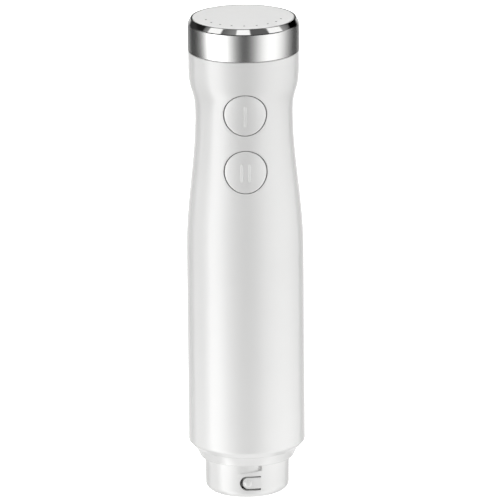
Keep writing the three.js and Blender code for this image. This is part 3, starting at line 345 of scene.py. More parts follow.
@dataclass(frozen=True)
class Brushed(Finish):
    """Steel brushed round its axis: fine level lines that smear each reflection upright."""

    rubbed: float = 0.03
    line: float = 0.12
    line_depth: float = 0.0006
    stroke: float = 28.0
    anisotropy: float = 0.75

    def dress(self, tree: bpy.types.NodeTree, shader: bpy.types.Node) -> None:
        """Adds level brush lines in tint, gloss and relief, with an upright smear of the gloss.

        Args:
            tree: the material's node tree.
            shader: its shader.
        """
        shader.inputs["Metallic"].default_value = 1.0
        shader.inputs["Anisotropic"].default_value = self.anisotropy
        around = node(tree, "ShaderNodeTangent", direction_type="RADIAL", axis="Z")
        tree.links.new(around.outputs[0], shader.inputs["Tangent"])
        spot = node(tree, "ShaderNodeTexCoord").outputs["Object"]
        along = 1 / (self.stroke * MM)
        level = node(tree, "ShaderNodeMapping", {"Vector": spot, "Scale": (along, along, 1 / (self.line * MM))})
        lines = node(tree, "ShaderNodeTexNoise", {"Vector": level, "Scale": 1.0, "Detail": 4.0, "Roughness": 0.6})
        self.vary(tree, shader, lines, lines)
        bump = node(tree, "ShaderNodeBump", {"Height": lines, "Distance": self.line_depth * MM, "Strength": 1.0})
        tree.links.new(bump.outputs[0], shader.inputs["Normal"])


@dataclass(frozen=True)
class Stacked(Finish):
    """Metal laid up in level layers: punched laminations or wound wire."""

    layer: float = 0.5
    layer_depth: float = 0.05

    def dress(self, tree: bpy.types.NodeTree, shader: bpy.types.Node) -> None:
        """Adds level bands one layer high, of the second colour in the joints.

        Args:
            tree: the material's node tree.
            shader: its shader.
        """
        shader.inputs["Metallic"].default_value = 1.0
        spot = node(tree, "ShaderNodeTexCoord").outputs["Object"]
        wave_scale = math.pi / (10 * self.layer * MM)  # this gives one band for each layer
        bands = node(
            tree,
            "ShaderNodeTexWave",
            {"Vector": spot, "Scale": wave_scale, "Distortion": 0.4, "Detail": 1.0},
            wave_type="BANDS",
            bands_direction="Z",
            wave_profile="SIN",
        ).outputs["Fac"]
        colours = {0: bands, FIRST: linear(self.second), SECOND: linear(self.colour)}
        tint = node(tree, "ShaderNodeMix", colours, data_type="RGBA")
        tree.links.new(tint.outputs[MIXED], shader.inputs["Base Color"])
        depth = self.layer_depth * MM
        bump = node(tree, "ShaderNodeBump", {"Height": bands, "Distance": depth, "Strength": 0.6})
        tree.links.new(bump.outputs[0], shader.inputs["Normal"])


# Gloss ABS, moulded in a polished tool: bright white, mirror-like but slightly wavy.
GLOSS_ABS = Moulded(
    "gloss_moulded_abs_white",
    "#F1F1F0",
    0.1,
    second="#EDEDEC",
    grain=0.9,
    grain_depth=0.0004,
    wave=9.0,
    wave_depth=0.002,
    rubbed=0.02,
    coat=0.5,
)
# The same ABS from a spark-eroded tool, for the top disc: even and without mirror images, its white darker than
# the sleeve's as painted shade on the upward-facing disc.
SATIN_ABS_PAINTED_SHADE = Moulded(
    "satin_abs_white_painted_shade",
    "#E5E5E4",
    0.36,
    second="#E1E1E0",
    grain=0.3,
    grain_depth=0.003,
)
# Button caps, moulded in the sleeve's white with a slightly softer gloss from fingertips.
BUTTON_ABS = Moulded(
    "button_moulded_abs_white",
    "#F1F1F0",
    0.2,
    second="#EDEDEC",
    grain=0.6,
    grain_depth=0.0006,
    rubbed=0.03,
    coat=0.9,
    coat_ior=1.62,
)
# The raised bars, in the caps' ABS with a clear coat and a paler white that is a painted highlight, standing in
# for the light their rounded edges catch, so that the speeds read against the caps.
BAR_PAINTED_HIGHLIGHT = Moulded(
    "abs_bars_paler_white_painted_highlight",
    "#F6F6F5",
    0.2,
    second="#F4F4F3",
    grain=0.6,
    grain_depth=0.0004,
    rubbed=0.02,
    coat=0.5,
)
# Stainless steel strip brushed round the ring; real lines are 0.05 mm, drawn at 0.12 mm so that they show.
BRUSHED_STEEL = Brushed("brushed_stainless_steel", "#C9C9C8", 0.24, second="#C2C2C1")
# The ring's bevel, turned with a diamond and left mirror-bright.
TURNED_STEEL = Metal(
    "diamond_turned_stainless_steel",
    "#D2D2D1",
    0.07,
    second="#CCCCCB",
    tooth=0.2,
    tooth_depth=0.0002,
    rubbed=0.02,
)
# Tinted polycarbonate light guide: near black until a light behind it is on.
SMOKED_PC = Moulded(
    "smoked_polycarbonate",
    "#3A3C3E",
    0.18,
    second="#313335",
    ior=1.58,
    grain_depth=0.0005,
    rubbed=0.03,
)
# Glass-filled nylon from an eroded tool: dark, dull, with a fine tooth.
DARK_NYLON = Moulded(
    "glass_filled_nylon_black",
    "#26282A",
    0.55,
    second="#2E3032",
    grain=0.25,
    grain_depth=0.012,
)
# Plain grey ABS of the inner frames, straight from a sand-blasted tool.
GREY_ABS = Moulded("blasted_abs_grey", "#8C8F92", 0.5, second="#85888B", grain=0.3, grain_depth=0.01)
# The charging port's surround: mid-grey ABS with a fine satin grain.
BEZEL_ABS = Moulded("satin_abs_mid_grey", "#6E7275", 0.42, second="#686C6F", grain=0.25, grain_depth=0.006)
# Moulded silicone of the seals and the motor's damper: matt, faintly dusty.
SILICONE = Moulded(
    "moulded_silicone_charcoal",
    "#3B3D3F",
    0.68,
    second="#454749",
    ior=1.41,
    grain=0.5,
    grain_depth=0.02,
    rubbed=0.08,
)
# Pressure-die-cast aluminium: pale, cloudy, with a coarse skin.
CAST_ALUMINIUM = Metal("die_cast_aluminium", "#B9BBBD", 0.42, second="#A9ABAD", tooth=0.6, tooth_depth=0.015)
# Zinc-plated pressed steel: bluish bright with uneven gloss.
ZINC_STEEL = Metal("zinc_plated_steel", "#B4B8BC", 0.3, second="#A4A9AE", tooth=0.4, tooth_depth=0.003)
# Ground shaft steel.
GROUND_STEEL = Metal("ground_shaft_steel", "#C4C5C6", 0.2, second="#BBBCBD", tooth=0.1, tooth_depth=0.001)
# Hard gold flashed over nickel on the port's contacts.
GILT = Metal("gold_flashed_contacts", "#C8A860", 0.24, second="#BE9D55", tooth=0.1, tooth_depth=0.0005)
# Punched electrical steel laminations, 0.5 mm each.
LAMINATIONS = Stacked(
    "punched_lamination_steel",
    "#8E9092",
    0.45,
    second="#4B4C4E",
    layer=0.5,
    layer_depth=0.05,
)
# Enamelled copper wire of 0.45 mm, wound in level turns.
WOUND_COPPER = Stacked(
    "enamelled_copper_winding",
    "#B4643A",
    0.3,
    second="#5A2614",
    layer=0.45,
    layer_depth=0.2,
)
# Hard-drawn copper bars of the commutator.
COPPER_BARS = Metal("hard_drawn_copper", "#C77B55", 0.28, second="#B56A46", tooth=0.15, tooth_depth=0.004)
# Oil-filled sintered bronze: open pores and a brown bloom.
SINTERED_BRONZE = Metal("sintered_bronze", "#9C7A4B", 0.5, second="#83643B", tooth=0.18, tooth_depth=0.02)
# Pressed and fired ferrite, and the carbon of the brushes: nearly black and dry.
FERRITE = Moulded("sintered_ferrite", "#2B2B2C", 0.6, second="#353536", grain=0.3, grain_depth=0.015)
# Printed PVC sleeve shrunk over each battery cell.
CELL_WRAP = Moulded("shrunk_pvc_wrap_blue", "#3F7DA6", 0.3, second="#3A769E", grain=0.8, grain_depth=0.004)
# Solder mask over woven glass laminate.
SOLDER_MASK = Moulded("solder_mask_green", "#1F5A3A", 0.32, second="#246341", grain=0.4, grain_depth=0.006)
# Silicone lead insulation in red and in black.
RED_LEAD = Moulded(
    "silicone_insulation_red",
    "#B3261E",
    0.45,
    second="#A8221B",
    ior=1.41,
    grain=0.5,
    grain_depth=0.004,
)
BLACK_LEAD = Moulded(
    "silicone_insulation_black",
    "#1C1D1E",
    0.45,
    second="#232425",
    ior=1.41,
    grain=0.5,
    grain_depth=0.004,
)


# ------------------------------------------------------------------ making meshes


class Skin:
    """Collects the rows of points and the faces of one closed mesh, in millimetres."""

    def __init__(self) -> None:
        """Starts an empty skin."""
        self.points: list[Vector] = []
        self.faces: list[tuple[int, ...]] = []

    def row(self, points: Iterable[Vector]) -> list[int]:
        """Adds a row of points.

        Args:
            points: the points, in millimetres.

        Returns:
            Their numbers.
        """
        start = len(self.points)
        self.points.extend(points)
        return list(range(start, len(self.points)))

    def cap(self, ring: Sequence[int], middle: Vector) -> None:
        """Closes a ring with a fan.

        Args:
            ring: the ring's points.
            middle: where the fan meets.
        """
        centre = self.row([middle])[0]
        for i, point in enumerate(ring):
            self.faces.append((point, ring[(i + 1) % len(ring)], centre))

    def tube(self, rings: Sequence[Sequence[int]]) -> None:
        """Joins closed rings of equal length one after another with four-sided faces.

        Args:
            rings: the rings.
        """
        for first, second in zip(rings, rings[1:]):
            for i in range(len(first)):
                j = (i + 1) % len(first)
                self.faces.append((first[i], first[j], second[j], second[i]))

    def turn(self, section: Sequence[Flat], steps: int) -> None:
        """Turns a section about Z and closes both its ends on the axis.

        Args:
            section: the radius and height of its points.
            steps: how many points go round.
        """
        azimuths = [360 * i / steps for i in range(steps)]
        rings = [self.row(on_round(r, a, z) for a in azimuths) for r, z in section]
        self.tube(rings)
        for ring, (_, height) in ((rings[0], section[0]), (rings[-1], section[-1])):
            self.cap(ring, Vector((0, 0, height)))

    def mesh(self, name: str) -> bpy.types.Mesh:
        """Makes the mesh, in metres, with doubles merged and its faces outwards.

        Args:
            name: the mesh's name.

        Returns:
            The mesh.
        """
        mesh = bpy.data.meshes.new(name)
        mesh.from_pydata([p * MM for p in self.points], [], self.faces)
        work = bmesh.new()
        work.from_mesh(mesh)
        bmesh.ops.remove_doubles(work, verts=work.verts[:], dist=MERGE)
        bmesh.ops.dissolve_degenerate(work, edges=work.edges[:], dist=SHORTEST)
        bmesh.ops.recalc_face_normals(work, faces=work.faces[:])
        work.to_mesh(mesh)
        work.free()
        return mesh

    def finish(
        self, name: str, body: Body, finish: Finish, slot: str, stands_for: Sequence[str] = ()
    ) -> bpy.types.Object:
        """Makes the closed mesh object, dressed and riding on its body.

        Args:
            name: the piece's name.
            body: the rigid body that it rides on.
            finish: its finish.
            slot: not used.
            stands_for: the CAD nodes that it replaces.

        Returns:
            The object.
        """
        mesh = self.mesh(name)
        mesh.materials.append(finish.material())
        return mount(mesh, body, stands_for)


def mount(
    mesh: bpy.types.Mesh, body: Body, stands_for: Sequence[str] = (), crease: float = CREASE
) -> bpy.types.Object:
    """Puts a finished mesh in the scene as one piece of the object.

    Args:
        mesh: the mesh, in metres, with its materials; the piece takes its name.
        body: the rigid body that it rides on.
        stands_for: the CAD nodes that it replaces.
        crease: edges sharper than this many degrees stay crisp.

    Returns:
        The object.
    """
    piece = bpy.data.objects.new(mesh.name, mesh)
    bpy.context.scene.collection.objects.link(piece)
    mesh.polygons.foreach_set("use_smooth", [True] * len(mesh.polygons))
    mesh.set_sharp_from_angle(angle=math.radians(crease))
    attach(piece, body.value)
    if stands_for:
        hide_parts(*stands_for)
    LOG.info("%s: %d faces, rides on %s", piece.name, len(mesh.polygons), body.value)
    return piece


@dataclass
class Opening:
    """An opening through the wall of a turned shell, with a rolled edge outside.

    The grid's cells inside the block are left out. A patch runs from the block's border to the
    opening along the outer surface, rolls over its edge, and lines the cut down to the bore. Points
    of the outline from square_from on, in X, get no roll.
    """

    columns: list[int]
    heights: list[float]
    centre: Flat
    outline: Outline
    side: Side
    roll: float = 0.3
    rings: int = 5
    roll_steps: int = 4
    bore_rings: int = 3
    square_from: float = math.inf


@dataclass
class TurnedShell:
    """A shell turned about Z: a closed section, carried round a list of azimuths."""

    azimuths: list[float]
    outer_radius: Callable[[float], float]
    inner_radius: Callable[[float], float]
    skin: Skin = field(default_factory=Skin)

    def carry(self, rows: list[Row], openings: Sequence[tuple[Opening, int, int]]) -> None:
        """Carries the section round and fits the openings.

        Args:
            rows: for each row of the closed section, radius and height by azimuth.
            openings: each opening, with the lowest row of its block on the outer wall and on the
                inner wall; the outer rows run downwards and the inner rows upwards.
        """
        grid = [self.skin.row(on_round(row(a)[0], a, row(a)[1]) for a in self.azimuths) for row in rows]
        count = len(self.azimuths)
        left_out = set()
        for opening, outer_low, inner_low in openings:
            for step in range(len(opening.heights) - 1):
                for column in opening.columns[:-1]:
                    left_out.add((outer_low - step - 1, column % count))
                    left_out.add((inner_low + step, column % count))
        for r, first in enumerate(grid):
            second = grid[(r + 1) % len(grid)]
            for c in range(count):
                if (r, c) not in left_out:
                    d = (c + 1) % count
                    self.skin.faces.append((first[c], first[d], second[d], second[c]))
        for opening, outer_low, inner_low in openings:
            steps = range(len(opening.heights))
            outer = [grid[outer_low - s] for s in steps]
            inner = [grid[inner_low + s] for s in steps]
            self.fit(opening, self.border(outer, opening.columns), self.border(inner, opening.columns))

    def border(self, rows: list[list[int]], columns: list[int]) -> list[int]:
        """Finds the border of a block of grid points.

        Args:
            rows: the grid's rows that cross the block, lowest first.
            columns: the block's columns.

        Returns:
            The border as one closed loop, from its lowest first corner.
        """
        count = len(self.azimuths)
        wrapped = [c % count for c in columns]
        bottom = [rows[0][c] for c in wrapped]
        right = [row[wrapped[-1]] for row in rows[1:]]
        top = [rows[-1][c] for c in reversed(wrapped[:-1])]
        left = [row[wrapped[0]] for row in reversed(rows[1:-1])]
        return bottom + right + top + left

    def fit(self, opening: Opening, outer: list[int], inner: list[int]) -> None:
        """Builds the patches, the rolled edge and the lining of an opening.

        Args:
            opening: the opening.
            outer: its block's border on the outer wall.
            inner: its block's border on the inner wall.
        """
        skin, sign = self.skin, opening.side.value
        places = [(skin.points[i].x, skin.points[i].z) for i in outer]
        cx, cz = opening.centre
        angles = [math.atan2(z - cz, x - cx) for x, z in places]
        edge = [boundary(opening.outline, opening.centre, a) for a in angles]
        rolls = [opening.roll if x < opening.square_from else 0.0 for x, _ in edge]
        grown = []
        for (x, z), angle, roll in zip(edge, angles, rolls):
            grown.append((x + roll * math.cos(angle), z + roll * math.sin(angle)))

        def lay(points: Sequence[Flat], surface: Callable[[float], float], sunk: float = 0.0) -> list[int]:
            """Lays a loop on a turned surface.

            Args:
                points: the loop, seen along Y.
                surface: the surface's radius by height.
                sunk: how far the loop lies below it, as a share of the roll.

            Returns:
                The loop's points.
            """
            loop = []
            for (x, z), roll in zip(points, rolls):
                loop.append(Vector((x, sign * (math.sqrt(surface(z) ** 2 - x * x) - sunk * roll), z)))
            return skin.row(loop)

        loops = [outer]
        for share in spread(0.0, 1.0, opening.rings)[1:]:
            loops.append(lay(between(places, grown, share), self.outer_radius))
        for turn in spread(0.0, math.pi / 2, opening.roll_steps)[1:]:
            rolled = between(edge, grown, 1 - math.sin(turn))
            loops.append(lay(rolled, self.outer_radius, 1 - math.cos(turn)))
        loops.append(lay(edge, self.inner_radius))
        inside = [(skin.points[i].x, skin.points[i].z) for i in inner]
        for share in spread(0.0, 1.0, opening.bore_rings)[1:-1]:
            loops.append(lay(between(edge, inside, share), self.inner_radius))
        loops.append(inner)
        skin.tube(loops)


def fixed(points: Iterable[Flat]) -> list[Row]:
    """Turns plain section points to rows that are the same at every azimuth."""
    return [lambda azimuth, point=point: point for point in points]


# ------------------------------------------------------------------ sleeve and buttons


@dataclass
class OuterSleeve:
    """The one-piece white housing: straight barrel, drawn-in waist, flared mouth.

    The wall is a grid of rows and columns. It has a block of button_cells rows round each button's
    hole and of port_cells rows round the port's, and other_cells rows below, between and above them.
    The eases are the handles of the flank's two curves, and foot_round is the middle of the foot's
    small rounding, as shares of its radius.
    """

    foot: float = 23.5
    foot_round: Flat = (0.25, 0.12)
    first_row: float = 32.0
    top: float = 232.2
    barrel: float = 29.95
    barrel_top: float = 127.4
    waist: float = 24.95
    waist_height: float = 199.0
    mouth: float = 28.25
    mouth_height: float = 224.0
    eases: tuple[float, float, float, float] = (26.0, 24.2, 14.6, 14.1)
    wall: float = 2.3
    shoulder_run: float = 2.85
    shoulder_rise: float = 3.0
    shoulder_blend: float = 2.4
    foot_bore: float = 25.0
    edge: float = 0.4
    button_hole: float = 11.1
    button_heights: tuple[float, float] = (204.05, 174.45)
    button_block: float = 14.8
    button_cells: int = 20
    port_height: float = 118.0
    port_half_length: float = 3.0
    port_radius: float = 4.5
    port_roll: float = 0.2
    port_block: float = 8.0
    port_cells: int = 10
    port_columns: int = 12
    other_cells: tuple[int, int, int] = (10, 12, 6)
    edge_steps: int = 4
    blend_steps: int = 6
    columns: int = 192

    def __post_init__(self) -> None:
        """Draws the flank once, from the barrel's top to the mouth, as a table of points."""
        lower = self.flank(
            (self.barrel, self.barrel_top),
            (self.barrel, self.barrel_top + self.eases[0]),
            (self.waist, self.waist_height - self.eases[1]),
            (self.waist, self.waist_height),
        )
        upper = self.flank(
            (self.waist, self.waist_height),
            (self.waist, self.waist_height + self.eases[2]),
            (self.mouth, self.mouth_height - self.eases[3]),
            (self.mouth, self.mouth_height),
        )
        self.table = lower + upper[1:]

    @staticmethod
    def flank(a: Flat, b: Flat, c: Flat, d: Flat, cells: int = 160) -> list[Flat]:
        """Draws a cubic curve.

        Args:
            a: its first end.
            b: the first end's handle.
            c: the last end's handle.
            d: its last end.
            cells: number of chords.

        Returns:
            The points, both ends included.
        """
        made = []
        for t in spread(0.0, 1.0, cells):
            s = 1 - t
            weights = (s**3, 3 * s * s * t, 3 * s * t * t, t**3)
            made.append(tuple(sum(w * p[k] for w, p in zip(weights, (a, b, c, d))) for k in (0, 1)))
        return made

    def radius_at(self, height: float) -> float:
        """Reads the outer radius off the drawn surface.

        Args:
            height: a height above the shoulder.

        Returns:
            The radius there.
        """
        if height <= self.barrel_top:
            return self.barrel
        if height >= self.mouth_height:
            return self.mouth
        low, high = 0, len(self.table) - 1
        while high - low > 1:
            middle = (low + high) // 2
            low, high = (middle, high) if self.table[middle][1] <= height else (low, middle)
        (r0, z0), (r1, z1) = self.table[low], self.table[high]
        return r0 + (r1 - r0) * (height - z0) / (z1 - z0)

    def bore_at(self, height: float) -> float:
        """Inner radius at a height above the shoulder."""
        return self.radius_at(height) - self.wall

    def holes(self, upper: list[float], lower: list[float], port: list[float]) -> list[Opening]:
        """Lists the two button holes and the port's hole.

        Args:
            upper: heights of the rows round the upper button's hole.
            lower: the same for the lower button.
            port: the same for the port.

        Returns:
            The openings.
        """
        front = self.columns // 2
        columns = list(range(front - self.button_cells, front + self.button_cells + 1))
        made = []
        for height, rows in zip(self.button_heights, (upper, lower)):
            hole = slotted((0.0, height), 0.0, self.button_hole)
            made.append(Opening(columns, rows, (0.0, height), hole, Side.FRONT))
        centre = (0.0, self.port_height)
        hole = slotted(centre, self.port_half_length, self.port_radius)
        columns = list(range(-self.port_columns, self.port_columns + 1))
        made.append(Opening(columns, port, centre, hole, Side.BACK, roll=self.port_roll))
        return made

    def build(self) -> bpy.types.Object:
        """Builds the sleeve with its two button holes and the port's hole.

        Returns:
            The sleeve.
        """
        half = self.button_block
        upper, lower = (spread(z - half, z + half, self.button_cells) for z in self.button_heights)
        half = self.port_block
        port = spread(self.port_height - half, self.port_height + half, self.port_cells)
        below, middle, above = self.other_cells
        heights = spread(self.first_row, port[0], below)[:-1] + port
        heights += spread(port[-1], lower[0], middle)[1:-1] + lower + upper[1:]
        heights += spread(upper[-1], self.top - self.edge, above)[1:]
        slope = math.degrees(math.atan2(self.shoulder_rise, self.shoulder_run))
        bevel_top = self.foot + self.shoulder_rise
        setback = self.shoulder_blend * math.tan(math.radians((90 - slope) / 2))
        foot_radius = self.barrel - self.shoulder_run
        small = self.edge / 2
        rolled_top = arc((self.mouth - self.edge, self.top - self.edge), self.edge, 90, 0, self.edge_steps)
        outside = rolled_top + [(self.radius_at(z), z) for z in reversed(heights[:-1])]
        blend = (self.barrel - self.shoulder_blend, bevel_top + setback)
        outside += arc(blend, self.shoulder_blend, 0, slope - 90, self.blend_steps)
        tilt = math.radians(slope)
        outside += [
            (foot_radius + small * math.cos(tilt), self.foot + small * math.sin(tilt)),
            (foot_radius + small * self.foot_round[0], self.foot + small * self.foot_round[1]),
            (foot_radius - small, self.foot),
        ]
        taper = bevel_top + self.shoulder_blend
        inside = [
            (self.foot_bore, self.foot),
            (self.foot_bore, taper),
            (self.barrel - self.wall, taper + self.barrel - self.wall - self.foot_bore),
        ]
        lowest_inner = len(outside) + len(inside) - 1
        inside += [(self.bore_at(z), z) for z in heights[1:]]
        inside += [(self.mouth - self.wall, self.top)]
        lowest_outer = len(rolled_top) + len(heights) - 2
        openings = []
        for opening in self.holes(upper, lower, port):
            index = nearest(heights, opening.heights[0])
            outer_low = lowest_outer - index + 1  # one row lower than on the inner wall
            openings.append((opening, outer_low, lowest_inner + index))
        azimuths = [-180 + 360 * c / self.columns for c in range(self.columns)]
        shell = TurnedShell(azimuths, self.radius_at, self.bore_at)
        shell.carry(fixed(outside + inside), openings)
        return shell.skin.finish("housing_shell", Body.HANDLE, GLOSS_ABS, "gloss_white", ["housing_sleeve"])


@dataclass
class PushButton:
    """A round cap that follows the sleeve's waist, with raised speed bars."""

    number: int
    body: Body
    height: float
    sleeve: OuterSleeve
    radius: float = 10.65
    roll: float = 0.4
    flange_radius: float = 11.95
    flange_front: float = -18.94
    flange_back: float = -17.94
    pocket_radius: float = 8.85
    pocket_floor: float = -21.53
    stem: float = 2.4
    bar_heights: tuple[float, float] = (11.0, 9.3)
    bar_drops: tuple[float, float] = (0.6, 0.35)
    bar_width: float = 1.5
    bar_rise: float = 0.3
    bar_spacing: float = 4.0
    crown_shares: tuple[float, ...] = (0.06, 0.2, 0.4, 0.6, 0.8, 0.92, 1.0)
    roll_steps: int = 5
    end_steps: int = 8
    spokes: int = 96

    def surface(self, x: float, z: float) -> float:
        """Y of the sleeve's outer surface in front of a point."""
        return -math.sqrt(self.sleeve.radius_at(z) ** 2 - x * x)

    def ring(self, skin: Skin, radius: float, depth: float = 0.0, level: float | None = None) -> list[int]:
        """Adds a ring round the cap's axis.

        Args:
            skin: the skin that takes the points.
            radius: the ring's radius.
            depth: how far behind the drawn surface it lies.
            level: its Y, or None to follow the drawn surface.

        Returns:
            The ring's points.
        """
        points = []
        for turn in spread(0.0, 2 * math.pi, self.spokes)[:-1]:
            x, z = radius * math.cos(turn), self.height + radius * math.sin(turn)
            y = level if level is not None else self.surface(x, z) + depth
            points.append(Vector((x, y, z)))
        return skin.row(points)

    def build(self) -> list[bpy.types.Object]:
        """Builds the cap and its bars.

        Returns:
            The cap, then the bars.
        """
        skin = Skin()
        crown = self.radius - self.roll
        rings = [self.ring(skin, crown * share) for share in self.crown_shares]
        skin.cap(rings[0], Vector((0.0, self.surface(0.0, self.height), self.height)))
        for turn in spread(0.0, math.pi / 2, self.roll_steps)[1:]:
            rings.append(self.ring(skin, crown + self.roll * math.sin(turn), self.roll * (1 - math.cos(turn))))
        for radius, level in (
            (self.radius, self.flange_front),
            (self.flange_radius, self.flange_front),
            (self.flange_radius, self.flange_back),
            (self.pocket_radius, self.flange_back),
            (self.pocket_radius, self.pocket_floor),
            (self.stem, self.pocket_floor),
            (self.stem, self.flange_front),
        ):
            rings.append(self.ring(skin, radius, level=level))
        skin.tube(rings)
        skin.cap(rings[-1], Vector((0.0, self.flange_front, self.height)))
        cap = skin.finish(
            f"button_cap_{self.number}", self.body, BUTTON_ABS, "button_white", [f"button_{self.number}"]
        )
        shift = -self.bar_spacing * (self.number - 1) / 2
        bars = [self.bar(i + 1, shift + self.bar_spacing * i) for i in range(self.number)]
        return [cap, *bars]

    def bar(self, index: int, x: float) -> bpy.types.Object:
        """Builds one raised bar with round ends and a rounded top.

        Args:
            index: the bar's number, from the left.
            x: where its middle lies across the cap.

        Returns:
            The bar.
        """
        skin = Skin()
        half = self.bar_width / 2
        straight = self.bar_heights[self.number - 1] / 2 - half
        flat_part = half - self.bar_rise
        rings = []
        for turn in spread(0.0, math.pi / 2, self.roll_steps):
            grow = flat_part + self.bar_rise * math.cos(turn)
            rings.append(self.bar_ring(skin, x, straight, grow, self.bar_rise * math.sin(turn)))
        bottom = self.bar_ring(skin, x, straight, half, -self.bar_rise)
        skin.tube([bottom, *rings])
        middle = self.height - self.bar_drops[self.number - 1]
        top = Vector((x, self.surface(x, middle) - self.bar_rise, middle))
        skin.cap(rings[-1], top)
        skin.cap(bottom, top + Vector((0, 2 * self.bar_rise, 0)))
        # the bars' paler white is a painted highlight
        return skin.finish(f"button_{self.number}_bar_{index}", self.body, BAR_PAINTED_HIGHLIGHT, "button_white")

    def bar_ring(self, skin: Skin, x: float, straight: float, radius: float, rise: float) -> list[int]:
        """Adds an upright stadium round a bar.

        Args:
            skin: the skin that takes the points.
            x: the bar's middle.
            straight: half the straight part.
            radius: the radius of the ends.
            rise: how far the ring stands above the cap.

        Returns:
            The ring's points.
        """
        points = []
        middle = self.height - self.bar_drops[self.number - 1]
        for end, start in ((1, 0.0), (-1, math.pi)):
            for turn in spread(start, start + math.pi, self.end_steps):
                px = x + radius * math.cos(turn)
                pz = middle + end * straight + radius * math.sin(turn)
                points.append(Vector((px, self.surface(px, pz) - rise, pz)))
        return skin.row(points)


# ------------------------------------------------------------------ collar and latch


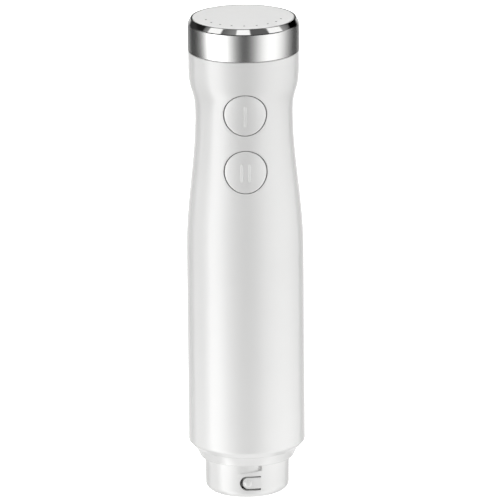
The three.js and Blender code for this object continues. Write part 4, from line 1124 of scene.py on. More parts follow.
@dataclass
class BayonetCollar:
    """The lower collar: cone, ledge, ramped bayonet pockets, slotted spigot and drive well.

    A pocket's lead, stop and notch are in degrees from its centre; pitch, in degrees, is from one
    pocket to the next. The slot's sides are in degrees round from the front.
    """

    top: float = 23.34
    top_radius: float = 26.4
    top_edge: float = 0.2
    top_flat: float = 0.15
    cone_radius: float = 24.4
    cone_foot: float = 0.05
    ledge: float = 18.2
    ledge_round: float = 0.8
    spigot: float = 21.7
    spigot_foot: float = 21.45
    rim_round: float = 4.0
    well: float = 12.5
    well_depth: float = 17.0
    hub_hole: float = 6.3
    hub_top: float = 20.0
    well_edge: float = 0.3
    well_outside: float = 14.5
    skirt_inside: float = 19.05
    rim_thickness: float = 2.6
    shelf: float = 21.5
    lip_inside: float = 22.7
    lip: float = 24.7
    lip_top: float = 29.2
    pitch: int = 120
    pocket_lead: float = 14.3
    pocket_stop: float = 19.2
    pocket_depth: float = 1.25
    notch_depth: float = 2.0
    notch_start: float = 14.6
    notch_wall: float = 0.03
    pocket_height: float = 3.3
    pocket_slope: float = 1.7
    latch_height: float = 8.2
    latch_centre: float = -0.5
    latch_radius: float = 3.8
    latch_root: float = 6.5
    latch_roll: float = 0.12
    slot_top: float = 12.8
    slot_rows: int = 12
    slot_sides: Flat = (-16.5, 24.0)
    slot_middle: float = 2.0
    ledge_steps: int = 5
    rim_steps: int = 10
    columns: int = 240

    def outer_at(self, height: float) -> float:
        """Radius of the spigot's drafted outer wall."""
        draft = (self.spigot - self.spigot_foot) * (height - self.rim_round)
        return self.spigot_foot + draft / (self.ledge - self.rim_round)

    def inner_at(self, height: float) -> float:
        """Radius of the spigot's bore, which is the same at every height."""
        return self.skirt_inside

    def from_pocket(self, azimuth: float) -> float:
        """Degrees from the nearest pocket's centre."""
        return (azimuth + self.pitch / 2) % self.pitch - self.pitch / 2

    def pocket_share(self, azimuth: float) -> float:
        """Finds how far along its pocket an azimuth is.

        Args:
            azimuth: degrees round from the front.

        Returns:
            A share from 0 at the pocket's lead to 1 at its stop, and 0 outside the pockets.
        """
        along = self.from_pocket(azimuth)
        if -self.pocket_lead <= along <= self.pocket_stop:
            return (along + self.pocket_lead) / (self.pocket_lead + self.pocket_stop)
        return 0.0

    def pocket_row(self, sunk: bool, low: bool) -> Row:
        """Draws a row along the pockets' edges.

        Args:
            sunk: whether it lies at the pockets' depth or flush with the wall.
            low: whether it follows their lower edge or lies under the ledge.

        Returns:
            The row.
        """

        def row(azimuth: float) -> Flat:
            """Gives the row's point at an azimuth.

            Args:
                azimuth: degrees round from the front.

            Returns:
                Its radius and height.
            """
            share = self.pocket_share(azimuth)
            height = self.ledge
            if low:
                height -= self.pocket_height + self.pocket_slope * (1 - share)
            depth = self.pocket_depth * share
            if share and self.from_pocket(azimuth) > self.notch_start:
                depth = self.notch_depth
            return (self.outer_at(height) - (depth if sunk else 0.0), height)

        return row

    def azimuths(self) -> list[float]:
        """Gives even azimuths, with a fine pair of columns at each end of a pocket's catch notch.

        Returns:
            The azimuths in degrees, in rising order.
        """
        made = [-180 + 360 * c / self.columns for c in range(self.columns)]
        for turn in range(0, 360, self.pitch):
            for wall in (self.notch_start, self.pocket_stop):
                start = (turn + wall + 180) % 360 - 180
                made += [start, start + self.notch_wall]
        return sorted(set(made))

    @staticmethod
    def round_ended(centre: Flat, radius: float, root: float) -> Outline:
        """An outline that is round on the left and square at the tongue's root on the right.

        Args:
            centre: the centre of the round end.
            radius: its radius, which is half the height too.
            root: X of the square end.

        Returns:
            The distance function.
        """

        def distance(x: float, z: float) -> float:
            """How far outside the outline a point lies."""
            beyond = min(x - centre[0], 0.0)
            return max(x - root, math.hypot(beyond, z - centre[1]) - radius)

        return distance

    def build(self) -> bpy.types.Object:
        """Builds the collar with its pockets, slot and well.

        Returns:
            The collar.
        """
        heights = spread(self.rim_round, self.slot_top, self.slot_rows)
        edge, ease = self.top_edge, self.ledge_round
        outside = fixed(
            [(self.lip, self.lip_top), (self.lip, self.top), (self.top_radius - self.top_flat, self.top)]
            + arc((self.top_radius - edge, self.top - edge), edge, 90, 0, 2)[1:]
            + [(self.cone_radius + SLIGHT, self.ledge + ease + self.cone_foot)]
            + arc((self.cone_radius - ease, self.ledge + ease), ease, 0, -90, self.ledge_steps)
        )
        outside += [
            self.pocket_row(sunk=False, low=False),
            self.pocket_row(sunk=True, low=False),
            self.pocket_row(sunk=True, low=True),
            self.pocket_row(sunk=False, low=True),
        ]
        outside += fixed([(self.outer_at(z), z) for z in reversed(heights)])
        middle = (self.spigot_foot - self.rim_round, self.rim_round)
        foot = arc(middle, self.rim_round, 0, -90, self.rim_steps)[1:]
        outside += fixed(foot)
        edge = self.well_edge
        inside = (
            arc((self.well + edge, edge), edge, -90, -180, 3)
            + [(self.well, self.well_depth), (self.hub_hole, self.well_depth), (self.hub_hole, self.hub_top)]
            + [(self.well_outside, self.hub_top), (self.well_outside, self.rim_thickness)]
            + [(self.skirt_inside, self.rim_thickness)]
        )
        upper = [(self.skirt_inside, z) for z in heights]
        rest = [(self.skirt_inside, self.shelf), (self.lip_inside, self.shelf), (self.lip_inside, self.lip_top)]
        rows = outside + fixed(inside) + fixed(upper) + fixed(rest)
        azimuths = self.azimuths()
        outer_low = len(outside) - len(foot) - 1
        inner_low = len(outside) + len(inside)
        left, right = (nearest(azimuths, side) for side in self.slot_sides)
        opening = Opening(
            list(range(left, right + 1)),
            heights,
            (self.slot_middle, self.latch_height),
            self.round_ended((self.latch_centre, self.latch_height), self.latch_radius, self.latch_root),
            Side.FRONT,
            roll=self.latch_roll,
            rings=3,
            roll_steps=3,
            square_from=self.latch_root - SLIGHT,
        )
        shell = TurnedShell(azimuths, self.outer_at, self.inner_at)
        shell.carry(rows, [(opening, outer_low, inner_low)])
        return shell.skin.finish("collar_shell", Body.HANDLE, GLOSS_ABS, "gloss_white", ["bayonet_collar"])


@dataclass
class LatchTongue:
    """The spring tongue inside the slot, with its round catch."""

    collar: BayonetCollar
    centre: Flat = (0.1, 8.35)
    radius: float = 2.95
    root_gap: float = 0.03
    root_relief: float = 0.18
    catch: Flat = (-0.15, 8.25)
    catch_radius: float = 2.0
    catch_rise: float = 0.7
    catch_margin: float = 0.12
    dome_steps: int = 8
    inset: float = 0.06
    back: float = -17.78
    roll: float = 0.15
    spokes: int = 120

    def build(self) -> bpy.types.Object:
        """Builds the tongue from rings round its catch.

        Returns:
            The tongue.
        """
        skin, collar, centre = Skin(), self.collar, self.catch
        root = collar.latch_root - self.root_gap
        outline = collar.round_ended(self.centre, self.radius, root)
        turns = spread(0.0, 2 * math.pi, self.spokes)[:-1]
        edge = [boundary(outline, centre, t) for t in turns]

        def lay(points: Sequence[Flat], rise: float = 0.0) -> list[int]:
            """Lays a ring on the spigot's surface.

            Args:
                points: the ring, seen along Y.
                rise: how far it stands out, except at the root.

            Returns:
                The ring's points.
            """
            made = []
            for x, z in points:
                out = 0.0 if x > root - SLIGHT else rise
                made.append(Vector((x, -math.sqrt(collar.outer_at(z) ** 2 - x * x) - out, z)))
            return skin.row(made)

        def circle(radius: float) -> list[Flat]:
            """A circle round the catch's middle."""
            return [(centre[0] + radius * math.cos(t), centre[1] + radius * math.sin(t)) for t in turns]

        rings = []
        for turn in spread(0.0, math.pi / 2, self.dome_steps)[1:]:
            rings.append(lay(circle(self.catch_radius * math.sin(turn)), self.catch_rise * math.cos(turn)))
        rings.append(lay(circle(self.catch_radius + self.catch_margin)))
        rings.append(lay(between(edge, [centre] * len(edge), self.inset)))
        rings.append(lay(edge, -self.roll))
        rings.append(skin.row([Vector((min(x, root - self.root_relief), self.back, z)) for x, z in edge]))
        skin.tube(rings)
        top = Vector((centre[0], -math.sqrt(collar.outer_at(centre[1]) ** 2 - centre[0] ** 2), centre[1]))
        skin.cap(rings[0], top - Vector((0, self.catch_rise, 0)))
        skin.cap(rings[-1], Vector((centre[0], self.back, centre[1])))
        return skin.finish("latch_spring_tongue", Body.LATCH, GLOSS_ABS, "gloss_white", ["latch_tongue"])


# ------------------------------------------------------------------ pieces made by geometry nodes


@dataclass
class Graph:
    """A geometry node tree with named inputs, run once to a plain mesh."""

    name: str
    sizes: dict[str, float | int]

    def __post_init__(self) -> None:
        """Makes the tree with a geometry input, one input for each size, and an output."""
        self.tree = bpy.data.node_groups.new(self.name, "GeometryNodeTree")
        face = self.tree.interface
        face.new_socket("Geometry", in_out="INPUT", socket_type="NodeSocketGeometry")
        for key, value in self.sizes.items():
            kind = "NodeSocketInt" if isinstance(value, int) else "NodeSocketFloat"
            face.new_socket(key, in_out="INPUT", socket_type=kind)
        face.new_socket("Geometry", in_out="OUTPUT", socket_type="NodeSocketGeometry")
        self.entry = self.tree.nodes.new("NodeGroupInput")

    def size(self, key: str) -> bpy.types.NodeSocket:
        """The socket that carries a named size."""
        return self.entry.outputs[key]

    def close(self, geometry: bpy.types.Node) -> None:
        """Ends the tree in its output."""
        node(self.tree, "NodeGroupOutput", {0: geometry})

    def run(self, name: str, start: bpy.types.Mesh | None = None) -> bpy.types.Mesh:
        """Runs the tree on a mesh and returns the result as a plain mesh.

        Args:
            name: name of the new mesh.
            start: the mesh that the tree starts from, or None for an empty one.

        Returns:
            The new mesh.
        """
        holder = bpy.data.objects.new(name + "_start", start or bpy.data.meshes.new(name + "_start"))
        bpy.context.scene.collection.objects.link(holder)
        modifier = holder.modifiers.new(self.name, "NODES")
        modifier.node_group = self.tree
        for item in self.tree.interface.items_tree:
            if item.in_out == "INPUT" and item.name in self.sizes:
                modifier[item.identifier] = self.sizes[item.name]
        evaluated = holder.evaluated_get(bpy.context.evaluated_depsgraph_get())
        mesh = bpy.data.meshes.new_from_object(evaluated)
        mesh.name = name
        holder.modifiers.remove(modifier)
        bpy.data.objects.remove(holder)
        return mesh


@dataclass
class SpeedRing:
    """The steel ring that is turned to set the speed: brushed side, mirror-turned bevel."""

    bottom: float = 232.45
    top: float = 249.4
    outer: float = 28.35
    bore: float = 26.2
    bevel_width: float = 1.5
    bevel_height: float = 2.65
    foot_width: float = 0.12
    foot_height: float = 0.5
    lip: float = 0.6
    edge: float = 0.14
    round_steps: int = 4
    bevel_tilt: float = 0.12
    steps: int = 256

    def build(self) -> bpy.types.Object:
        """Sweeps the ring's section round a circle.

        Returns:
            The ring.
        """
        graph = Graph(
            "ring_sweep",
            {
                "Outer Radius": self.outer * MM,
                "Bore Radius": self.bore * MM,
                "Bottom": self.bottom * MM,
                "Top": self.top * MM,
                "Bevel Width": self.bevel_width * MM,
                "Bevel Height": self.bevel_height * MM,
                "Foot Width": self.foot_width * MM,
                "Foot Height": self.foot_height * MM,
                "Lip Rounding": self.lip * MM,
                "Edge Rounding": self.edge * MM,
                "Steps": self.steps,
            },
        )
        tree, size = graph.tree, graph.size
        outer, bore, top, bottom = (size(key) for key in ("Outer Radius", "Bore Radius", "Top", "Bottom"))
        edge, lip = size("Edge Rounding"), size("Lip Rounding")
        foot = node(tree, "ShaderNodeMath", {0: outer, 1: size("Foot Width")}, operation="SUBTRACT").outputs[0]
        land = node(tree, "ShaderNodeMath", {0: foot, 1: size("Bevel Width")}, operation="SUBTRACT").outputs[0]
        shoulder = node(tree, "ShaderNodeMath", {0: top, 1: size("Bevel Height")}, operation="SUBTRACT").outputs[0]
        toe = node(tree, "ShaderNodeMath", {0: shoulder, 1: size("Foot Height")}, operation="SUBTRACT").outputs[0]
        corners = [
            (bore, top, edge),
            (land, top, lip),
            (foot, shoulder, edge),
            (outer, toe, edge),
            (outer, bottom, edge),
            (bore, bottom, edge),
        ]
        index = node(tree, "GeometryNodeInputIndex")
        columns = []
        for column in zip(*corners):
            switch = node(tree, "GeometryNodeIndexSwitch", {"Index": index}, data_type="FLOAT")
            while len(switch.index_switch_items) < len(corners):
                switch.index_switch_items.new()
            for i, value in enumerate(column):
                tree.links.new(value, switch.inputs[i + 1])
            columns.append(switch)
        radius, height, rounding = columns
        blank = {"Resolution": len(corners), "Radius": 1.0}
        circle = node(tree, "GeometryNodeCurvePrimitiveCircle", blank, mode="RADIUS")
        across = node(tree, "ShaderNodeMath", {0: radius, 1: bore}, operation="SUBTRACT")
        down = node(tree, "ShaderNodeMath", {0: height, 1: -1.0}, operation="MULTIPLY")
        where = node(tree, "ShaderNodeCombineXYZ", {"X": across, "Y": down})
        section = node(tree, "GeometryNodeSetPosition", {"Geometry": circle, "Position": where})
        rounded = node(
            tree,
            "GeometryNodeFilletCurve",
            {"Curve": section, "Radius": rounding, "Count": self.round_steps, "Limit Radius": True},
            mode="POLY",
        )
        around = {"Resolution": size("Steps"), "Radius": bore}
        path = node(tree, "GeometryNodeCurvePrimitiveCircle", around, mode="RADIUS")
        swept = node(tree, "GeometryNodeCurveToMesh", {"Curve": path, "Profile Curve": rounded})
        plain = node(tree, "GeometryNodeRealizeInstances", {"Geometry": swept})
        side = node(tree, "GeometryNodeSetMaterial", {"Geometry": plain, "Material": BRUSHED_STEEL.material()})
        normal = node(tree, "ShaderNodeSeparateXYZ", {0: node(tree, "GeometryNodeInputNormal")})
        upward = {0: normal.outputs["Z"], 1: self.bevel_tilt}
        tilted = node(tree, "ShaderNodeMath", upward, operation="GREATER_THAN")
        turned = {"Geometry": side, "Selection": tilted, "Material": TURNED_STEEL.material()}
        graph.close(node(tree, "GeometryNodeSetMaterial", turned))
        return mount(graph.run("speed_ring_band"), Body.DIAL, ["speed_ring"], crease=30.0)


@dataclass
class Indicators:
    """The row of indicator lights: pegs of the light guide and the holes that they fill."""

    count: int = 9
    circle: float = 19.7
    pitch: float = 18.8
    peg: float = 0.5
    gap: float = 0.12
    top: float = 249.35
    bottom: float = 244.5
    sides: int = 24

    def graph(self, radius: float, low: float, high: float, cut: bool, finish: Finish) -> Graph:
        """Makes a tree that stands a short rod at each light, or cuts such rods out of a mesh.

        Args:
            radius: the rods' radius.
            low: their lower end.
            high: their upper end.
            cut: whether to cut them out of the starting mesh.
            finish: the finish of the result.

        Returns:
            The graph, ready to run.
        """
        graph = Graph(
            "light_holes" if cut else "light_pegs",
            {
                "Count": self.count,
                "Circle Radius": self.circle * MM,
                "Pitch": math.radians(self.pitch),
                "Rod Radius": radius * MM,
                "Rod Height": (high - low) * MM,
                "Middle": (high + low) / 2 * MM,
            },
        )
        tree, size = graph.tree, graph.size
        index = node(tree, "GeometryNodeInputIndex")
        half = node(tree, "ShaderNodeMath", {0: size("Count"), 1: 0.5, 2: -0.5}, operation="MULTIPLY_ADD")
        steps = node(tree, "ShaderNodeMath", {0: index, 1: half}, operation="SUBTRACT")
        side = {0: steps, 1: size("Pitch"), 2: -math.pi / 2}
        turn = node(tree, "ShaderNodeMath", side, operation="MULTIPLY_ADD")
        aside = node(tree, "ShaderNodeMath", {0: turn}, operation="COSINE")
        forward = node(tree, "ShaderNodeMath", {0: turn}, operation="SINE")
        circle = size("Circle Radius")
        x = node(tree, "ShaderNodeMath", {0: aside, 1: circle}, operation="MULTIPLY")
        y = node(tree, "ShaderNodeMath", {0: forward, 1: circle}, operation="MULTIPLY")
        where = node(tree, "ShaderNodeCombineXYZ", {"X": x, "Y": y, "Z": size("Middle")})
        points = node(tree, "GeometryNodePoints", {"Count": size("Count"), "Position": where})
        rod = node(
            tree,
            "GeometryNodeMeshCylinder",
            {"Vertices": self.sides, "Radius": size("Rod Radius"), "Depth": size("Rod Height")},
        )
        rods = node(tree, "GeometryNodeInstanceOnPoints", {"Points": points, "Instance": rod})
        solid = node(tree, "GeometryNodeRealizeInstances", {"Geometry": rods})
        if cut:
            solid = node(
                tree,
                "GeometryNodeMeshBoolean",
                {"Mesh 1": graph.entry.outputs[0], "Mesh 2": solid},
                operation="DIFFERENCE",
                solver="EXACT",
            )
        graph.close(node(tree, "GeometryNodeSetMaterial", {"Geometry": solid, "Material": finish.material()}))
        return graph

    def build(self) -> bpy.types.Object:
        """Builds the pegs, one for each light."""
        pegs = self.graph(self.peg, self.bottom, self.top, False, SMOKED_PC)
        return mount(pegs.run("indicator_pegs"), Body.HANDLE, ["light_guide"])


@dataclass
class TopDisc:
    """The white disc inside the ring, with its skirt and the holes for the lights."""

    radius: float = 25.85
    top: float = 249.4
    thickness: float = 1.8
    skirt: float = 21.9
    skirt_bore: float = 20.4
    skirt_bottom: float = 242.3
    edge: float = 0.25
    flat_rings: tuple[float, ...] = (2.0, 8.0, 16.0, 22.0)
    cut_margin: float = 1.0
    edge_steps: int = 4
    steps: int = 192

    def build(self, lights: Indicators) -> bpy.types.Object:
        """Turns the disc and cuts its holes.

        Args:
            lights: the row of lights that needs the holes.

        Returns:
            The disc.
        """
        skin = Skin()
        under = self.top - self.thickness
        section = [(radius, self.top) for radius in self.flat_rings]
        section += arc((self.radius - self.edge, self.top - self.edge), self.edge, 90, 0, self.edge_steps)
        section += [(self.radius, under), (self.skirt, under), (self.skirt, self.skirt_bottom)]
        section += [(self.skirt_bore, self.skirt_bottom), (self.skirt_bore, under)]
        section += [(self.flat_rings[0], under)]
        skin.turn(section, self.steps)
        low, high = under - self.cut_margin, self.top + self.cut_margin
        # the disc's white is darkened as painted shade on its upward face
        holes = lights.graph(lights.peg + lights.gap, low, high, True, SATIN_ABS_PAINTED_SHADE)
        disc = holes.run("top_disc", skin.mesh("top_disc_blank"))
        return mount(disc, Body.HANDLE, ["top_cap"])


@dataclass
class ChargePort:
    """The charging port at the back: a bezel flush with the barrel, a steel socket and its tongue."""

    height: float = 118.0
    barrel: float = 29.88
    half_length: float = 3.0
    mouth: float = 3.0
    outside: float = 4.2
    flange: float = 6.0
    flange_front: float = 25.85
    flange_back: float = 24.7
    floor: float = 25.0
    floor_ease: float = 0.15
    back: float = 23.8
    mouth_roll: float = 0.35
    outer_roll: float = 0.2
    socket_length: float = 2.9
    socket_radius: float = 1.6
    socket_wall: float = 0.35
    socket_front: float = 24.9
    socket_back: float = 16.85
    socket_floor: float = 17.9
    socket_ease: float = 0.1
    closed_in: float = 0.3
    hole: float = 1.85
    tongue_width: float = 6.0
    tongue_height: float = 0.7
    tongue_front: float = 24.2
    tongue_edge: float = 0.1
    tip_thinning: float = 0.12
    tip_taper: Flat = (0.5, 0.15)
    pads: int = 8
    pad_pitch: float = 0.65
    pad_width: float = 0.28
    pad_length: float = 3.6
    pad_rise: float = 0.04
    pad_setback: float = 0.6
    roll_steps: int = 5
    end_steps: int = 18

    def ring(self, skin: Skin, length: float, radius: float, level: float | None, sunk: float = 0.0) -> list[int]:
        """Adds a stadium round the port's axis.

        Args:
            skin: the skin that takes the points.
            length: half its straight length.
            radius: its ends' radius.
            level: its Y, or None to follow the barrel.
            sunk: how far below the barrel it lies.

        Returns:
            The ring's points.
        """
        flat = []
        for end, start in ((1, -math.pi / 2), (-1, math.pi / 2)):
            flat += [(end * length + dx, dz) for dx, dz in self.half_turn(radius, start)]
            flat += [(end * length * share, end * radius) for share in (0.5, 0.0, -0.5)]
        points = []
        for x, z in flat:
            y = level if level is not None else math.sqrt(self.barrel**2 - x * x) - sunk
            points.append(Vector((x, y, self.height + z)))
        return skin.row(points)

    def half_turn(self, radius: float, start: float) -> list[Flat]:
        """Points of half a circle, from a start angle on."""
        turns = spread(start, start + math.pi, self.end_steps)
        return [(radius * math.cos(turn), radius * math.sin(turn)) for turn in turns]

    def bezel(self) -> bpy.types.Object:
        """Builds the well with its rolled lips and the flange behind the sleeve.

        Returns:
            The bezel.
        """
        skin, half, ease = Skin(), self.half_length, self.floor_ease
        rings = [
            self.ring(skin, self.socket_length, self.hole, self.back),
            self.ring(skin, self.socket_length, self.hole, self.floor - ease),
            self.ring(skin, self.socket_length, self.hole + ease, self.floor),
            self.ring(skin, half, self.mouth - 2 * ease, self.floor),
            self.ring(skin, half, self.mouth - ease / 2, self.floor + ease / 2),
            self.ring(skin, half, self.mouth, self.floor + 2 * ease),
        ]
        lips = ((self.mouth_roll, 0, self.mouth, 1), (self.outer_roll, 90, self.outside, -1))
        for roll, start, edge, way in lips:
            for angle in spread(start, start + 90 * way, self.roll_steps):
                turn = math.radians(angle)
                out = roll * (1 - math.cos(turn))
                rings.append(self.ring(skin, half, edge + way * out, None, roll * (1 - math.sin(turn))))
        for radius, level in (
            (self.outside, self.flange_front),
            (self.flange, self.flange_front),
            (self.flange, self.flange_back),
            (self.outside, self.flange_back),
            (self.outside, self.back),
        ):
            rings.append(self.ring(skin, half, radius, level))
        skin.tube([*rings, rings[0]])
        return skin.finish("charge_port_bezel", Body.HANDLE, BEZEL_ABS, "dark_plastic", ["charge_bezel"])

    def socket(self) -> bpy.types.Object:
        """Builds the drawn steel shell, closed at its back.

        Returns:
            The shell.
        """
        skin, length, ease = Skin(), self.socket_length, self.socket_ease
        inside = self.socket_radius - self.socket_wall
        rings = [
            self.ring(skin, length, self.closed_in, self.socket_back),
            self.ring(skin, length, self.socket_radius - 2 * ease, self.socket_back),
            self.ring(skin, length, self.socket_radius, self.socket_back + 2 * ease),
            self.ring(skin, length, self.socket_radius, self.socket_front - ease),
            self.ring(skin, length, self.socket_radius - ease, self.socket_front),
            self.ring(skin, length, inside + ease, self.socket_front),
            self.ring(skin, length, inside, self.socket_front - ease),
            self.ring(skin, length, inside, self.socket_floor),
            self.ring(skin, length, self.closed_in, self.socket_floor),
        ]
        skin.tube(rings)
        skin.cap(rings[0], Vector((0, self.socket_back, self.height)))
        skin.cap(rings[-1], Vector((0, self.socket_floor, self.height)))
        return skin.finish("charge_socket_shell", Body.HANDLE, ZINC_STEEL, "plated_steel", ["charge_socket"])

    def tongue(self) -> bpy.types.Object:
        """Builds the contact tongue, thinned towards its tip.

        Returns:
            The tongue.
        """
        skin, edge = Skin(), self.tongue_edge
        root = self.tongue_height / 2
        tip = root - self.tip_thinning
        foot = self.socket_floor + SLIGHT
        rings = []
        for y, half, ease in (
            (foot, root, 0.0),
            (self.tongue_front - self.tip_taper[0], root, 0.0),
            (self.tongue_front - self.tip_taper[1], tip, 0.0),
            (self.tongue_front, tip - edge, edge),
        ):
            side = self.tongue_width / 2 - ease
            corners = [(-side, -half), (side, -half), (side, half), (-side, half)]
            rings.append(skin.row(Vector((x, y, self.height + z)) for x, z in corners))
        skin.tube(rings)
        for ring, y in ((rings[0], foot), (rings[-1], self.tongue_front)):
            skin.cap(ring, Vector((0, y, self.height)))
        return skin.finish("charge_socket_tongue", Body.HANDLE, DARK_NYLON, "dark_plastic")

    def contacts(self) -> bpy.types.Object:
        """Sets out two rows of contact pads, one on each face of the tongue, with geometry nodes.

        Returns:
            The pads.
        """
        graph = Graph(
            "contact_rows",
            {
                "Pads": self.pads,
                "Pitch": self.pad_pitch * MM,
                "Pad Width": self.pad_width * MM,
                "Pad Length": self.pad_length * MM,
                "Pad Rise": self.pad_rise * MM,
                "Tongue Height": self.tongue_height * MM,
                "Middle": (self.tongue_front - self.pad_setback - self.pad_length / 2) * MM,
                "Port Height": self.height * MM,
            },
        )
        tree, size = graph.tree, graph.size
        gaps = node(tree, "ShaderNodeMath", {0: size("Pads"), 1: 1.0}, operation="SUBTRACT")
        across = node(tree, "ShaderNodeMath", {0: gaps, 1: size("Pitch")}, operation="MULTIPLY")
        grid = node(
            tree,
            "GeometryNodeMeshGrid",
            {"Size X": across, "Size Y": size("Tongue Height"), "Vertices X": size("Pads"), "Vertices Y": 2},
        )
        spot = node(tree, "ShaderNodeSeparateXYZ", {0: node(tree, "GeometryNodeInputPosition")})
        lifted = node(tree, "ShaderNodeMath", {0: spot.outputs["Y"], 1: size("Port Height")}, operation="ADD")
        where = node(tree, "ShaderNodeCombineXYZ", {"X": spot.outputs["X"], "Y": size("Middle"), "Z": lifted})
        rows = node(tree, "GeometryNodeSetPosition", {"Geometry": grid, "Position": where})
        doubled = node(tree, "ShaderNodeMath", {0: size("Pad Rise"), 1: 2.0}, operation="MULTIPLY")
        sides = {"X": size("Pad Width"), "Y": size("Pad Length"), "Z": doubled}
        pad = node(tree, "GeometryNodeMeshCube", {"Size": node(tree, "ShaderNodeCombineXYZ", sides)})
        pads = node(tree, "GeometryNodeInstanceOnPoints", {"Points": rows, "Instance": pad})
        solid = node(tree, "GeometryNodeRealizeInstances", {"Geometry": pads})
        graph.close(node(tree, "GeometryNodeSetMaterial", {"Geometry": solid, "Material": GILT.material()}))
        return mount(graph.run("charge_socket_contacts"), Body.HANDLE)

    def build(self) -> None:
        """Builds all the pieces of the port."""
        self.bezel()
        self.socket()
        self.tongue()
        self.contacts()


@dataclass
class DriveCoupling:
    """The lobed coupling on the lower end of the shaft: a turned blank, its lobes raised by nodes."""

    bottom: float = 4.55
    top: float = 14.95
    root: float = 5.05
    bore: float = 2.6
    bore_bottom: float = 9.75
    lobe: float = 1.3
    lobes: int = 6
    lobe_top: float = 12.4
    lobe_share: Flat = (-0.1, 0.75)
    lobe_margin: Flat = (0.05, 0.1)
    edge: float = 0.35
    bore_edge: float = 0.2
    closed_in: float = 0.6
    steps: int = 192

    def section(self) -> list[Flat]:
        """Draws the section of the turned blank.

        Returns:
            The radius and height of its points, from near the underside's middle to the bore's.
        """
        low, high = self.bottom + self.edge, self.lobe_top - self.edge
        return [
            (self.closed_in, self.bottom),
            (self.root - self.edge, self.bottom),
            (self.root, low),
            (self.root, (low + high) / 2),
            (self.root, high),
            (self.root - SLIGHT, self.lobe_top),
            (self.root - SLIGHT, self.top - self.edge),
            (self.root - self.edge, self.top),
            (self.bore + self.bore_edge, self.top),
            (self.bore, self.top - self.bore_edge),
            (self.bore, self.bore_bottom),
            (self.closed_in, self.bore_bottom),
        ]

    def build(self) -> bpy.types.Object:
        """Turns the blank, then lets the nodes push its flank out into lobes.

        Returns:
            The coupling.
        """
        skin = Skin()
        skin.turn(self.section(), self.steps)
        graph = Graph(
            "coupling_lobes",
            {
                "Lobes": self.lobes,
                "Lobe Rise": self.lobe * MM,
                "Root": (self.root - self.edge - self.lobe_margin[0]) * MM,
                "Lobe Top": (self.lobe_top - self.lobe_margin[1]) * MM,
            },
        )
        tree, size = graph.tree, graph.size
        parts = node(tree, "ShaderNodeSeparateXYZ", {0: node(tree, "GeometryNodeInputPosition")})
        angle = node(tree, "ShaderNodeMath", {0: parts.outputs["Y"], 1: parts.outputs["X"]}, operation="ARCTAN2")
        wave = node(tree, "ShaderNodeMath", {0: angle, 1: size("Lobes")}, operation="MULTIPLY")
        crest = node(tree, "ShaderNodeMath", {0: wave}, operation="COSINE")
        flanks = {"Value": crest, "From Min": self.lobe_share[0], "From Max": self.lobe_share[1]}
        shape = node(tree, "ShaderNodeMapRange", flanks, interpolation_type="SMOOTHSTEP")
        flat = node(tree, "ShaderNodeCombineXYZ", {"X": parts.outputs["X"], "Y": parts.outputs["Y"]})
        radius = node(tree, "ShaderNodeVectorMath", {0: flat}, operation="LENGTH").outputs["Value"]
        outer = node(tree, "ShaderNodeMath", {0: radius, 1: size("Root")}, operation="GREATER_THAN")
        below = node(tree, "ShaderNodeMath", {0: parts.outputs["Z"], 1: size("Lobe Top")}, operation="LESS_THAN")
        share = node(tree, "ShaderNodeMath", {0: outer, 1: below}, operation="MULTIPLY")
        rise = node(tree, "ShaderNodeMath", {0: shape, 1: size("Lobe Rise")}, operation="MULTIPLY")
        moved = node(tree, "ShaderNodeMath", {0: rise, 1: share}, operation="MULTIPLY")
        outward = node(tree, "ShaderNodeVectorMath", {0: flat}, operation="NORMALIZE")
        push = node(tree, "ShaderNodeVectorMath", {0: outward, "Scale": moved}, operation="SCALE")
        lobed = node(tree, "GeometryNodeSetPosition", {"Geometry": graph.entry.outputs[0], "Offset": push})
        solid = node(tree, "GeometryNodeRealizeInstances", {"Geometry": lobed})
        graph.close(node(tree, "GeometryNodeSetMaterial", {"Geometry": solid, "Material": DARK_NYLON.material()}))
        hub = graph.run("coupling_hub", skin.mesh("coupling_blank"))
        return mount(hub, Body.ROTOR, ["drive_coupling"], crease=32.0)


# ------------------------------------------------------------------ inner works


@dataclass
class InnerWorks:
    """Everything that keeps its CAD shape and gets the finish of the real part."""

    finishes: dict[str, Finish] = field(
        default_factory=lambda: {
            "charge_board": SOLDER_MASK,
            "led_board": SOLDER_MASK,
            "power_board": SOLDER_MASK,
            "main_board": SOLDER_MASK,
            "board_carrier": GREY_ABS,
            "button_frame": GREY_ABS,
            "top_frame": GREY_ABS,
            "ring_carrier": GREY_ABS,
            "battery_tray": GREY_ABS,
            "battery_cell": CELL_WRAP,
            "strap": ZINC_STEEL,
            "motor_can": ZINC_STEEL,
            "mount_screw": ZINC_STEEL,
            "motor_mount": CAST_ALUMINIUM,
            "heat_sink": CAST_ALUMINIUM,
            "bearing": SINTERED_BRONZE,
            "magnet": FERRITE,
            "dial_magnet": FERRITE,
            "brush_holder": DARK_NYLON,
            "brush": FERRITE,
            "rotor_shaft": GROUND_STEEL,
            "rotor_core": LAMINATIONS,
            "winding": WOUND_COPPER,
            "commutator": COPPER_BARS,
            "motor_damper": SILICONE,
            "seal": SILICONE,
            "shaft_seal": SILICONE,
        }
    )
    fallback: Finish = DARK_NYLON

    def build(self) -> int:
        """Dresses each CAD node that still shows.

        Returns:
            How many were dressed.
        """
        dressed = 0
        for name, piece in sorted(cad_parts.items()):
            if piece.hide_render:
                continue
            keys = [key for key in self.finishes if key in name]
            finish = self.finishes[max(keys, key=len)] if keys else self.fallback
            if name.startswith("motor_lead"):
                finish = RED_LEAD if name.endswith("1") else BLACK_LEAD
            piece.data.materials.clear()
            piece.data.materials.append(finish.material())
            LOG.info("%s: %s", name, finish.name)
            dressed += 1
        return dressed


# ------------------------------------------------------------------ studio


